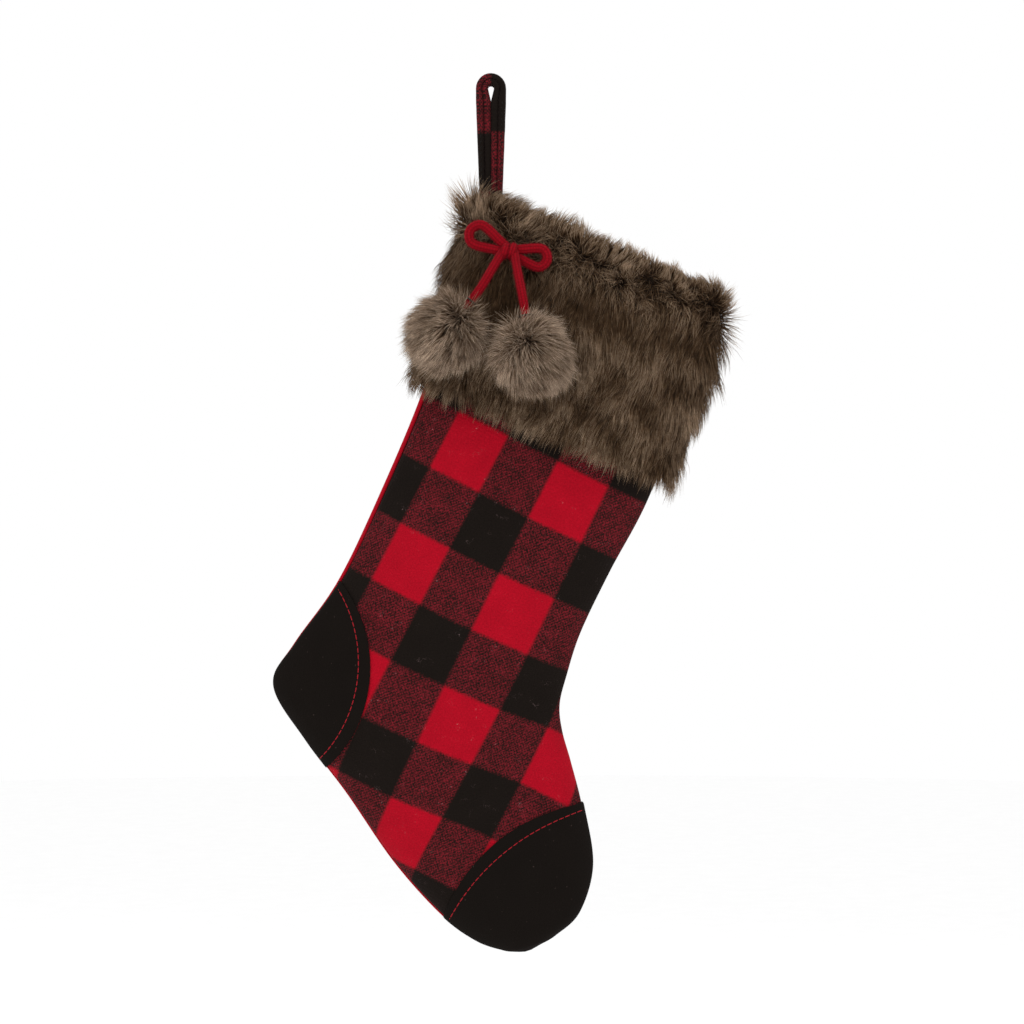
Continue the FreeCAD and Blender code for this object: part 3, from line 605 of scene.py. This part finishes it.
def make_patch(name, circle, node):
    """The part of the front's cloth inside a circle, with its cut edge drawn onto the circle."""
    places, _ = boot_grid(FRONT, 130, per_span=20)
    vertices = (places + normals_of(places) * PATCH_STAND * MM).reshape(-1, 3)
    centre, radius = np.array(circle[:2]) * MM, circle[2] * MM
    flat = vertices[:, [0, 2]] - centre
    distance = np.linalg.norm(flat, axis=1)
    vertices[:, [0, 2]] = centre + flat * np.minimum(radius / distance, 1)[:, None]
    faces = [f for f in grid_faces(*places.shape[:2]) if any(distance[i] < radius for i in f)]
    used = sorted({i for f in faces for i in f})
    renumber = {old: new for new, old in enumerate(used)}
    mesh = bpy.data.meshes.new(name)
    mesh.from_pydata(vertices[used].tolist(), [], [[renumber[i] for i in f] for f in faces])
    piece = add_piece(mesh, BLACK_FELT, "stocking", "black_felt", node)
    thicken(piece, 1.0, 1)
    return piece


def stitch_mesh(name, tips, radius):
    """Plump stitches, one for each pair of ends."""
    sides = 8
    ring = [(math.cos(a) * radius, math.sin(a) * radius) for a in circle_angles(sides)]
    vertices, faces = [], []
    for start, end in tips:
        axis = end - start
        along = axis.normalized()
        side = along.orthogonal().normalized()
        up = along.cross(side)
        base = len(vertices)
        for share, wide in STITCH_PROFILE:
            middle = start + axis * share
            vertices += [middle + (side * a + up * b) * wide for a, b in ring]
        last = len(vertices) - sides
        quads = grid_faces(len(STITCH_PROFILE), sides, closed=True)
        faces += [(base + a, base + d, base + c, base + b) for a, b, c, d in quads]
        faces += [range(base, base + sides)[::-1], range(last, last + sides)]
    mesh = bpy.data.meshes.new(name)
    mesh.from_pydata(vertices, [], faces)
    return mesh


def front_of(piece, x, z):
    """The first point of a piece seen from the front at (x, z), in mm, or None."""
    shape = piece.evaluated_get(bpy.context.evaluated_depsgraph_get())
    hit, place, *_ = shape.ray_cast(Vector((x, -200, z)) * MM, Vector((0, 1, 0)), distance=0.3)
    return place if hit else None


def make_topstitch(name, piece, circle, node):
    """A running stitch along the part of a circle on a patch."""
    centre_x, centre_z, radius = circle
    half = STITCH_LENGTH / 2 / radius
    tips = []
    for middle in circle_angles(int(2 * math.pi * radius / STITCH_PITCH)):
        pair = [
            front_of(piece, centre_x + radius * math.cos(a), centre_z + radius * math.sin(a))
            for a in (middle - half, middle + half)
        ]
        if all(pair):
            tips.append([p - Vector((0, 0.15 * MM, 0)) for p in pair])
    mesh = stitch_mesh(name, tips, 0.34 * MM)
    add_piece(mesh, RED_THREAD, "stocking", "red_thread", node)


def make_patches():
    bpy.context.view_layer.update()
    for name, circles in PATCHES.items():
        piece = make_patch(f"{name}_felt", circles["edge"], f"{name}_patch")
        make_topstitch(f"{name}_stitches", piece, circles["stitches"], f"{name}_topstitch")


# ---- fur

PILE_FIBRES = 12000    # in each piece of pile
CUFF_PILES = 9
CUFF_LOCKS = 1500
POM_LOCKS = 550
POM_ROOTS = 13.0       # mm from a pom-pom's middle to its fibres' roots
LOCK_REACH = 4.5 * MM  # how far from a lock's middle its fibres are drawn in
# Along a fibre: share of its length, and share of its thickness. Its tip is a point.
STRAND_PROFILE = [(0.0, 1.0), (0.36, 0.85), (0.7, 0.5)]


def strand_mesh(name, roots, first, second, lengths, widths, tones):
    """Closed three-sided tapered fibres. Each leaves its root along its first direction and bends
    to its second. Attributes: along, 0 at the root and 1 at the tip, and tone, one for each."""
    count = len(roots)
    first, second = unit(first), unit(second)
    side = unit(np.cross(first, second + np.array([0.013, 0.007, 0.003])))
    corners = [(math.cos(a + 0.5), math.sin(a + 0.5)) for a in circle_angles(3)]
    blocks, along = [], []

    def place(share):
        middle = first * (share - share**2 / 2) + second * (share**2 / 2)
        return roots + middle * lengths[:, None]

    for share, wide in STRAND_PROFILE:
        up = np.cross(unit(first * (1 - share) + second * share), side)
        for a, b in corners:
            blocks.append(place(share) + (side * a + up * b) * (widths * wide / 2)[:, None])
            along.append(share)
    blocks.append(place(1.0))
    along.append(1.0)
    per = len(blocks)
    vertices = np.stack(blocks, axis=1).reshape(-1, 3)
    quads = [(a, d, c, b) for a, b, c, d in grid_faces(len(STRAND_PROFILE), 3, closed=True)]
    last = per - 4
    tips = [(last + c, last + (c + 1) % 3, per - 1) for c in range(3)] + [(2, 1, 0)]
    base = (np.arange(count) * per)[:, None, None]
    quad_loops = (np.array(quads)[None] + base).reshape(count, -1)
    tip_loops = (np.array(tips)[None] + base).reshape(count, -1)
    loops = np.hstack([quad_loops, tip_loops]).ravel()
    sizes = np.tile([4] * len(quads) + [3] * len(tips), count)
    starts = np.concatenate([[0], np.cumsum(sizes)[:-1]])
    mesh = bpy.data.meshes.new(name)
    mesh.vertices.add(len(vertices))
    mesh.vertices.foreach_set("co", vertices.ravel())
    mesh.loops.add(len(loops))
    mesh.loops.foreach_set("vertex_index", loops)
    mesh.polygons.add(len(sizes))
    mesh.polygons.foreach_set("loop_start", starts)
    mesh.update(calc_edges=True)
    add_attribute(mesh, "along", np.tile(along, count))
    add_attribute(mesh, "tone", np.repeat(tones, per))
    return mesh


def near(value, middle, reach):
    """1 at the middle, fading to 0 beyond the reach."""
    return np.exp(-(((value - middle) / reach) ** 2))


def fibre_tips(roots, first, second, lengths):
    return roots + (first * 0.5 + second * 0.5) * lengths[:, None]


def bent_to_locks(roots, first, second, lengths, lock_roots, lock_tips, strength):
    """The second directions, bent so that each fibre's tip is drawn to its nearest lock's."""
    tree = KDTree(len(lock_roots))
    for index, root in enumerate(lock_roots):
        tree.insert(root, index)
    tree.balance()
    _, nearest, gap = zip(*[tree.find(root) for root in roots])
    share = strength * near(np.array(gap), 0, LOCK_REACH)
    moved = lock_tips[list(nearest)] - fibre_tips(roots, first, second, lengths)
    return second + moved * share[:, None] / lengths[:, None] * 2.0


# Rows across the cuff's backing, in mm, as the boot's rows: outside, from the top edge to the hem.
CUFF = [
    (-13.5, -77, 149, -141, 21),
    (-21.5, -108, 142.5, -167, 23),
    (-31, -140, 134, -197, 24),
    (-45, -186, 112.5, -250.5, 24),
]
ROLL = 6.0        # mm, radius of the rolled top edge
ROLL_STEPS = 6
FACING = 16.0     # mm, depth of the cuff's turned-in facing
BOW_SHADOW = np.array([2, -24, -136]) * MM        # middle of the shadow painted on the pile behind the bow
BOW_SHADOW_REACH = np.array([26, 20, 20]) * MM
BACK_STAND = 0.6  # the pile lies flatter at the back, where it rests against a wall


def cuff_rows(per_span):
    """The cuff's rows: up the facing inside the mouth, over the roll, and down to the hem. Each row
    is left, right, depth and inset, and how far round the roll it is, from 0 outside to 1 inside."""
    outside = through(CUFF, per_span)
    *ends, depth = outside[0]
    along = row_frame(*ends)[1]

    def row(rise, inset, turned):
        x, z = -along[1] * rise, along[0] * rise
        return *(ends + np.array([x, z, x, z])), depth, inset, turned

    rows = [row(-FACING, 2 * ROLL, 1.0), row(-FACING / 2, 2 * ROLL, 1.0)]
    for step in range(ROLL_STEPS, 0, -1):
        turn = math.pi * step / ROLL_STEPS
        rows.append(row(ROLL * math.sin(turn), ROLL * (1 - math.cos(turn)), turn / math.pi))
    return rows + [(*numbers, 0.0, 0.0) for numbers in outside]


def cuff_grid(columns, per_span):
    """The cuff's backing as a closed grid, and how far round the roll each row is."""
    places, turned = [], []
    for left_x, left_z, right_x, right_z, depth, inset, turn in cuff_rows(per_span):
        left, along, width = row_frame(left_x, left_z, right_x, right_z)
        line, run = cross_section(width - 2 * inset, depth - inset)
        reach = np.linspace(0, run[-1], columns + 1)[:-1]
        s, y = np.interp(reach, run, line[:, 0]) + inset, np.interp(reach, run, line[:, 1])
        places.append(on_row(left, along, s, y))
        turned.append(turn)
    return np.array(places) * MM, np.array(turned)


def sample_grid(rng, points, count, extra):
    """Random places on a closed grid, evenly by area, with each one's normal, its way along the
    columns, its share of the way down and its row's extra number."""
    rows, columns = points.shape[:2]
    down = unit(np.gradient(points, axis=0))
    after = np.roll(points, -1, 1)
    area = np.linalg.norm(np.cross(after[:-1] - points[:-1], points[1:] - points[:-1]), axis=2)
    share = (area / area.sum()).ravel()
    picked = rng.choice(len(share), count, p=share)
    r, c = picked // columns, picked % columns
    a, b = rng.random(count)[:, None], rng.random(count)[:, None]
    next_c = (c + 1) % columns

    def blend(values):
        above, below = (values[k, c] * (1 - a) + values[k, next_c] * a for k in (r, r + 1))
        return above * (1 - b) + below * b

    height = (r + b[:, 0]) / (rows - 1)
    level = extra[r] * (1 - b[:, 0]) + extra[r + 1] * b[:, 0]
    return blend(points), blend(normals_of(points, True)), blend(down), height, level


def fur_noise(places, scale, seed):
    return np.array([
        noise.noise(Vector((x * scale, y * scale + seed, z * scale))) for x, y, z in places
    ])


def cuff_pile():
    """The cuff's fibres. They stand up on the rolled top edge, lie down along the leg in uneven
    locks below it, and hang over the hem. A darker band runs below the roll."""
    rng = np.random.default_rng(4)
    grid, turned = cuff_grid(150, 12)
    outside_start = (turned > 0).sum() / (len(turned) - 1)
    for part in range(CUFF_PILES):
        roots, normal, down, height, turn = sample_grid(rng, grid, PILE_FIBRES, turned)
        x = roots[:, 0]
        below = np.clip((height - outside_start) / (1 - outside_start), 0, 1)
        swirl = fur_noise(roots, 24.0, 0.0)
        lump = fur_noise(roots, 55.0, 5.0)
        lock = fur_noise(roots, 130.0, 9.0)
        side = unit(np.cross(normal, down))
        rim = np.clip(1 - below / 0.24 + 0.60 * lump + 0.35 * swirl, 0, 1)
        upward = np.clip(turn * 2.2 + 1.05 * rim, 0, 1)
        lie = down * (1 - 1.7 * upward)[:, None]
        tangle = 0.17 + 0.55 * np.clip(4 * upward * (1 - upward), 0, 1) ** 2
        comb = lie + side * (0.50 * swirl + 0.45 * lock)[:, None]
        comb += rng.normal(0, 1, (PILE_FIBRES, 3)) * tangle[:, None]
        stand = 0.70 + 0.9 * lump + rng.normal(0, 0.18, PILE_FIBRES) + 0.25 * rim
        stand = np.clip(stand, 0.25, 1.8) * np.where(normal[:, 1] > 0, BACK_STAND, 1.0)
        first = unit(normal * stand[:, None] + comb * 0.45)
        second = unit(comb + normal * (0.05 + 0.30 * upward + 0.35 * lump)[:, None])
        second[:, 2] -= 0.12
        towards_loop = np.clip((0.11 - x) / 0.12, 0, 1)
        at_corner = np.clip((x - 0.132) / 0.012, 0, 1)
        lengths = rng.uniform(15, 25, PILE_FIBRES) * MM * (1 + 0.35 * lump)
        lengths *= 1 - upward * (0.55 - 0.45 * towards_loop)
        lengths *= 1 + 0.35 * near(x, 0.009, 0.006) * upward + 0.45 * at_corner
        lengths[turn > 0.75] *= 0.5
        lengths *= np.where(normal[:, 1] > 0.3, 0.8, 1.0)
        fibres = roots, first, second, lengths
        if part == 0:
            locks = roots[:CUFF_LOCKS], fibre_tips(*fibres)[:CUFF_LOCKS]
        second = bent_to_locks(*fibres, *locks, 0.70)
        # Painted shadow: fibres near the middle behind the bow and between its tails get a darker
        # tone.
        from_bow_shadow = np.linalg.norm((roots - BOW_SHADOW) / BOW_SHADOW_REACH, axis=1)
        tones = 0.38 + 0.6 * lump + 0.30 * fur_noise(roots, 45.0, 3.0)
        tones += rng.normal(0, 0.34, PILE_FIBRES) + 0.40 * upward
        tones -= 0.30 * near(below, 0.30, 0.11) + 0.75 * near(from_bow_shadow, 0, 1)
        widths = rng.uniform(0.26, 0.48, PILE_FIBRES) * MM
        mesh = strand_mesh(
            f"cuff_pile_{part + 1}", roots, first, second, lengths, widths, np.clip(tones, 0, 1)
        )
        add_piece(mesh, FUR, "stocking", "brown_fur", *(["fur_cuff"] if part == 0 else []))


def make_cuff():
    grid, _ = cuff_grid(120, 8)
    mesh = grid_mesh("cuff_backing", grid, closed=True)
    backing = add_piece(mesh, BACKING, "stocking", "brown_fur", "fur_cuff")
    thicken(backing, 1.2, -1, smooth=False)
    cuff_pile()


def pom_middle(side):
    """Middle of a pom-pom, which is the middle of its filling."""
    low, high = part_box(f"pom_{side}_filling")
    return np.array((low + high) / 2)


def ball_mesh(name, middle, radius, lump, seed):
    """A lumpy ball, with its radius in mm."""
    points = []
    for polar in np.linspace(0.02, math.pi - 0.02, 24):
        ring, flat = [], math.sin(polar)
        for turn in circle_angles(40):
            way = Vector((flat * math.cos(turn), flat * math.sin(turn), math.cos(polar)))
            reach = radius * MM * (1 + lump * noise.noise(way * 2.5 + Vector((seed, 0, 0))))
            ring.append(middle + np.array(way) * reach)
        points.append(ring)
    return grid_mesh(name, np.array(points), closed=True)


# Each pom-pom's whorl: the side its pile is swept away from.
WHORLS = {"left": (0.86, -0.25, 0.45), "right": (-0.62, -0.45, 0.64)}


def pom_pile(side, seed):
    """A pom-pom's pile, swept away from its whorl."""
    rng = np.random.default_rng(seed)
    way = unit(rng.normal(0, 1, (PILE_FIBRES, 3)))
    bulge = 1 + 0.40 * fur_noise(way * 0.03, 60.0, seed)
    roots = pom_middle(side) + way * POM_ROOTS * MM
    lock = np.stack([fur_noise(way * 0.03, 110.0, seed + k * 11.0) for k in range(3)], axis=1)
    whorl = unit(np.array([WHORLS[side]]))
    towards = way @ whorl[0]
    at_whorl = np.clip(towards, 0, 1)
    sweep = way * towards[:, None] - whorl
    stray = rng.normal(0, 1, (PILE_FIBRES, 3)) * (0.16 + 0.85 * at_whorl**8)[:, None]
    first = unit(way + sweep * 0.7 + lock * 0.4 + stray)
    second = unit(way * 0.42 + sweep * 1.2 + lock * 0.8 + stray * 1.4)
    second[:, 2] -= 0.25
    lengths = rng.uniform(15.0, 22.5, PILE_FIBRES) * MM * bulge
    fibres = roots, first, second, lengths
    second = bent_to_locks(*fibres, roots[:POM_LOCKS], fibre_tips(*fibres)[:POM_LOCKS], 0.48)
    tones = 0.52 + 0.5 * fur_noise(roots, 90.0, seed) + rng.normal(0, 0.32, PILE_FIBRES)
    tones = np.clip(tones + 0.25 * at_whorl**4, 0, 1)
    widths = rng.uniform(0.28, 0.50, PILE_FIBRES) * MM
    return strand_mesh(f"pom_{side}_pile", roots, first, second, lengths, widths, tones)


def make_pom(side, seed):
    """A pom-pom: its lumpy filling, the backing round it, and its pile."""
    body = f"pom_{side}"
    cover = f"pom_{side}_cover"
    middle = pom_middle(side)
    mesh = ball_mesh(f"pom_{side}_fibre", middle, 11, 0.25, seed)
    add_piece(mesh, FILLING, body, "fibre_filling", f"pom_{side}_filling")
    mesh = ball_mesh(f"pom_{side}_backing", middle, 14, 0.12, seed + 9)
    backing = add_piece(mesh, BACKING, body, "brown_fur", cover)
    add_piece(pom_pile(side, seed), POM_FUR, body, "brown_fur", cover)


# ---- hanging strap

# A narrow check strip folded lengthwise: each leg shows two plies with a groove between. In mm.
STRAP_DEPTH = 13.0
STRAP_FOOT = -71.5
STRAP_TAIL = (-73.5, -104.0)
CROWN_RADIUS = 5.9            # of the middle line of both plies
EYE_FOOT = -9.0               # the legs press together from here down
# At the crown, at the eye's foot and at the strap's foot: height, how far the leg's middle line is
# from the centre, and one ply's thickness.
LEG = [(0.0, CROWN_RADIUS, 4.1), (EYE_FOOT, 4.8, 5.2), (STRAP_FOOT, 3.6, 4.0)]
TACK_HEIGHT = -72
STRAP_CLOTH = 0.94            # share of the cloth's pattern length in the strap's length
STRAP_PHASE = 0.384           # where along the check's row the left leg's foot starts


def leg_at(z):
    """The leg's distance from the centre and its plies' thickness at a height, in mm."""
    heights, middles, thicknesses = zip(*reversed(LEG))
    return np.interp(z, heights, middles), np.interp(z, heights, thicknesses)


def strap_line(step):
    """The strap's middle line from its left foot over the crown to its right foot: rows of x, z,
    outward direction x and z, running length and the plies' thickness, in mm."""
    heights = np.linspace(STRAP_FOOT, 0, int(-STRAP_FOOT / step))
    rows = [(-leg_at(z)[0], z, -1.0, 0.0, leg_at(z)[1]) for z in heights[:-1]]
    for angle in np.linspace(math.pi, 0, 15):
        out_x, out_z = math.cos(angle), math.sin(angle)
        rows.append((CROWN_RADIUS * out_x, CROWN_RADIUS * out_z, out_x, out_z, LEG[0][2]))
    rows += [(leg_at(z)[0], z, 1.0, 0.0, leg_at(z)[1]) for z in heights[-2::-1]]
    return [(*row[:4], run, row[4]) for row, run in zip(rows, running([row[:2] for row in rows]))]


def ply_section(thickness, depth, count=28):
    """A cushioned strip's cross-section: outward and depth, in mm."""
    c, s = np.cos(circle_angles(count)), np.sin(circle_angles(count))
    outward = np.sign(c) * np.abs(c) ** 0.75 * thickness / 2
    deep = np.sign(s) * np.abs(s) ** 0.55 * depth / 2
    return np.column_stack([outward, deep])


def capped(values):
    """Adds a closing ring, shrunk to the middle, at each end of a closed grid."""
    ends = [row.mean(axis=0) + (row - row.mean(axis=0)) * 0.02 for row in (values[0], values[-1])]
    return np.vstack([[ends[0]], values, [ends[1]]])


def ply_mesh(name, line, place):
    """One ply of the strap along a line of rows, outside it (+1), inside it (-1) or on it (0), with
    its place on the check cloth."""
    across = np.array(CHECK_ACROSS)
    along_cloth = across / np.linalg.norm(across)
    over_cloth = np.array([-along_cloth[1], along_cloth[0]])
    start = np.array(CHECK_CENTRE) + across * STRAP_PHASE + np.array(CHECK_DOWN)
    points, cloth = [], []
    for x, z, out_x, out_z, run, thick in line:
        ripple = 0.12 * noise.noise(Vector((run * 0.16, place, 0)))
        section = ply_section(thick, STRAP_DEPTH)
        ring, flat = [], []
        for (outward, deep), way_round in zip(section, running(section)):
            wave = 0.25 * noise.noise(Vector((run * 0.35, way_round * 0.4, place * 7)))
            out = place * thick * 0.46 + outward + ripple
            ring.append((x + out_x * out, deep + wave, z + out_z * out))
            flat.append(start + (run * along_cloth * STRAP_CLOTH + (deep - outward) * over_cloth) * MM)
        points.append(ring)
        cloth.append(flat)
    points, cloth = capped(np.array(points) * MM), capped(np.array(cloth))
    return grid_mesh(name, points[:, ::-1], closed=True, sheet=cloth[:, ::-1])


def make_strap():
    line = strap_line(1.3)
    for ply, place in (("outer", 1), ("inner", -1)):
        mesh = ply_mesh(f"strap_{ply}_ply", line, place)
        add_piece(mesh, STRAP, "loop", "check_fabric", "hanging_loop")
    top, foot = STRAP_TAIL
    middle, thick = leg_at(STRAP_FOOT)
    for side, side_name in zip((-1, 1), SIDES):
        x = side * middle * 0.85
        rows = [(x, z, side, 0.0, top - z, 1.6 * thick) for z in np.linspace(top, foot, 22)]
        mesh = ply_mesh(f"strap_{side_name}_end", rows, 0)
        add_piece(mesh, STRAP, "stocking", "check_fabric", "loop_tail")


def slanted(x, y, z, lean, length):
    """The two ends of a stitch that leans over on its way down, from numbers in mm."""
    return Vector((x - lean, y, z)) * MM, Vector((x + lean, y, z - length)) * MM


def make_strap_stitches():
    """Slanted stitches down the groove's outer side of each leg, front and back."""
    tips = []
    for y in (-1, 1):
        deep = y * (STRAP_DEPTH / 2 - 0.1)
        for leg in (-1, 1):
            for z in np.arange(-9, -64, -3.6):
                middle, thick = leg_at(z)
                tips.append(slanted(leg * (middle + thick / 2), deep, z, 0.35 * leg, 2.2))
    mesh = stitch_mesh("strap_stitches", tips, 0.32 * MM)
    add_piece(mesh, BLACK_THREAD, "loop", "black_thread", "loop_edge_stitches")


def make_bar_tack():
    """Turns of thread round the strap at the mouth."""
    tips = []
    for number in range(26):
        lean = 0.25 if number % 2 else -0.25
        for y in (-1.45, 1.45):
            tips.append(slanted(-5.6 + number * 0.45, y, TACK_HEIGHT + 1.5, lean, 3.0))
    core = ply_section(2.6, 2.6, 12)
    ends = np.linspace(-5.8, 5.8, 9)
    points = np.array([[(x, b, TACK_HEIGHT + a) for a, b in core] for x in ends]) * MM
    for mesh in (
        grid_mesh("bar_tack_core", capped(points), closed=True),
        stitch_mesh("bar_tack_turns", tips, 0.26 * MM),
    ):
        add_piece(mesh, BLACK_THREAD, "loop_tack", "black_thread", "loop_bartack")


# ---- cord bow

CORD_WALES = 8        # columns of knitting round the cord
CORD_COURSE = 1.9     # mm from one knitted row to the next
CORD_RELIEF = 0.065   # depth of the hollows, as a share of the radius
FUZZ_PER_MM = 22
LOOP_DIAMETER = 6.2
TAIL_DIAMETER = 5.6
KNOT_MIDDLE = Vector((11.5, -39.0, -109.0))
# Each loop's axis, and the route round it: out along the axis, and across it.
BOW_LOOPS = {
    "left": (Vector((-0.878, 0, 0.478)), 1.0),
    "right": (Vector((0.978, 0, -0.206)), 0.9),
}
LOOP_ROUTE = [(0, 1.2), (8, 3.0), (16.5, 5.9), (24.5, 7.2), (29.0, 0)]
# Routes of the tails, in mm, from inside the bow's knot to the middles of the pom-poms.
TAILS = {
    "left": ((7.9, -39, -109), (0.5, -49.5, -122), (-8, -56, -137.5), (-27.3, -57, -160.6)),
    "right": ((15.1, -39, -109), (17, -49.5, -122.5), (20.5, -58, -139.5), (26.3, -62.5, -175)),
}


def route_points(name, control_points):
    """Points along the NURBS curve with these control points, in metres."""
    curve = bpy.data.curves.new(name, "CURVE")
    curve.dimensions = "3D"
    curve.resolution_u = 24
    spline = curve.splines.new("NURBS")
    spline.points.add(len(control_points) - 1)
    for point, place in zip(spline.points, control_points):
        point.co = (*(Vector(place) * MM), 1.0)
    spline.order_u = 3
    spline.use_endpoint_u = True
    carrier = bpy.data.objects.new(name, curve)
    line = bpy.data.meshes.new_from_object(carrier)
    points = np.array([v.co for v in line.vertices])
    bpy.data.objects.remove(carrier)
    bpy.data.meshes.remove(line)
    return points


def evenly(points, step):
    """The same line with points a step apart, and how far along it each is."""
    run = running(points)
    places = np.linspace(0, run[-1], max(3, int(run[-1] / step)))
    return np.column_stack([np.interp(places, run, points[:, k]) for k in range(3)]), places


def knitted_tube(name, points, radius, step=0.4, around=48):
    """A knitted cord's surface along a line, with radius and step in mm. The attribute raised is 0
    in the hollows between its V-shaped stitches and 1 on their crowns."""
    line, run = evenly(points, step * MM)
    along = unit(np.gradient(line, axis=0))
    side = np.cross(along[0], (0.1, 0.9, 0.4))
    rings, raised = [], []
    turns = circle_angles(around)
    wale = np.abs(np.sin(turns * CORD_WALES / 2))
    for place, heading, distance in zip(line, along, run):
        side = unit(side - heading * side.dot(heading))
        up = np.cross(heading, side)
        row = distance / MM / CORD_COURSE
        stitch = 0.5 + 0.5 * np.cos(2 * math.pi * (row + 0.45 * wale))
        crown = wale**0.7 * (0.45 + 0.55 * stitch)
        reach = radius * MM * (1 + CORD_RELIEF * (crown - 0.75))
        reach *= 1 + 0.03 * noise.noise(Vector(place) * 160)
        ways = np.outer(np.cos(turns), side) + np.outer(np.sin(turns), up)
        rings.append(place + ways * reach[:, None])
        raised.append(crown)
    mesh = grid_mesh(name, capped(np.array(rings)), closed=True)
    add_attribute(mesh, "raised", np.vstack([raised[:1], raised, raised[-1:]]).ravel())
    return mesh, line


def cord_fuzz(name, line, radius, body, seed):
    """Loose fibres off the wool of a cord, whose radius is in mm."""
    rng = np.random.default_rng(seed)
    count = int(running(line)[-1] / MM * FUZZ_PER_MM)
    at = rng.integers(0, len(line) - 1, count)
    heading = unit(line[at + 1] - line[at])
    way = unit(np.cross(heading, rng.normal(0, 1, (count, 3))))
    roots = line[at] + way * radius * MM * 0.9
    second = unit(way * 0.4 + rng.normal(0, 0.8, (count, 3)) + heading * 0.5)
    lengths = rng.uniform(0.9, 2.4, count) * MM
    widths = np.full(count, 0.11 * MM)
    mesh = strand_mesh(name, roots, way, second, lengths, widths, np.ones(count))
    return add_piece(mesh, CORD_FUZZ, body, "red_cord")


def make_cord(stem, kind, points, diameter, body, seed, *nodes):
    """A cord and its loose fibres, with its middle line."""
    mesh, line = knitted_tube(f"{stem}_{kind}", points, diameter / 2)
    piece = add_piece(mesh, CORD, body, "red_cord", *nodes)
    return piece, cord_fuzz(f"{stem}_fuzz", line, diameter / 2, body, seed), line


def make_bow_loops():
    back = [(out, -wide) for out, wide in reversed(LOOP_ROUTE[:-1])]
    for (side, (axis, share)), seed in zip(BOW_LOOPS.items(), (31, 32)):
        across = axis.cross(Vector((0, 1, 0)))
        control = [
            KNOT_MIDDLE + Vector((0, 1.6, 0)) + (axis * out + across * wide) * share
            for out, wide in LOOP_ROUTE + back
        ]
        points = route_points(f"bow_loop_{side}_route", control)
        piece, fuzz, line = make_cord(
            f"bow_{side}", "loop", points, LOOP_DIAMETER, "stocking", seed, f"bow_loop_{side}"
        )


def make_bow_knot():
    """Two slanted turns of the cord round the middle of the bow, side by side."""
    for number, shift in enumerate((-2.3, 2.3), 1):
        points = [
            KNOT_MIDDLE + Vector((shift + 0.9 * math.sin(a), 3.2 * math.cos(a), 2.9 * math.sin(a)))
            for a in np.linspace(0, 2 * math.pi, 25)
        ]
        mesh, line = knitted_tube(f"bow_knot_turn_{number}", np.array(points) * MM, 2.55)
        add_piece(mesh, CORD, "stocking", "red_cord", "bow_knot")
        cord_fuzz(f"bow_knot_fuzz_{number}", line, 2.75, "stocking", 40 + number)


def make_end_knot(side):
    """The cord's overhand knot inside a pom-pom."""
    low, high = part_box(f"cord_end_knot_{side}")
    middle = np.array((low + high) / 2)
    reach = ((high - low).x / 2 - 3.0 * MM) * 0.62
    angles = np.linspace(0, 2 * math.pi, 40)
    x = np.sin(angles) + 0.6 * np.sin(2 * angles)
    y = np.cos(angles) - 0.6 * np.cos(2 * angles)
    points = np.column_stack([x, y, -0.8 * np.sin(3 * angles)]) * reach + middle
    mesh, _ = knitted_tube(f"end_knot_{side}", points, 2.3, step=0.8, around=24)
    return add_piece(mesh, CORD, f"pom_{side}", "red_cord", f"cord_end_knot_{side}")


def make_tails():
    for (side, route), seed in zip(TAILS.items(), (51, 52)):
        points = route_points(f"tail_{side}_route", route)
        piece, fuzz, line = make_cord(
            f"tail_{side}", "cord", points, TAIL_DIAMETER, f"pom_{side}", seed,
            f"cord_tail_{side}", f"tail_{side}_bend",
        )
        make_end_knot(side)


def dress_small_threads():
    """Threads for the stitches that stay as the CAD made them."""
    threads = {
        "bow_tack_thread": RED_THREAD, "cuff_seam_stitches": BROWN_THREAD,
        "pom_left_gather_thread": BROWN_THREAD, "pom_right_gather_thread": BROWN_THREAD,
    }
    for node, material in threads.items():
        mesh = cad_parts[node].data
        mesh.materials.clear()
        mesh.materials.append(material)


# ---- build

make_tails()
make_bow_loops()
make_bow_knot()
make_boot()
make_patches()
make_cuff()
for side, seed in zip(SIDES, (11, 23)):
    make_pom(side, seed)
make_strap()
make_strap_stitches()
make_bar_tack()
dress_small_threads()
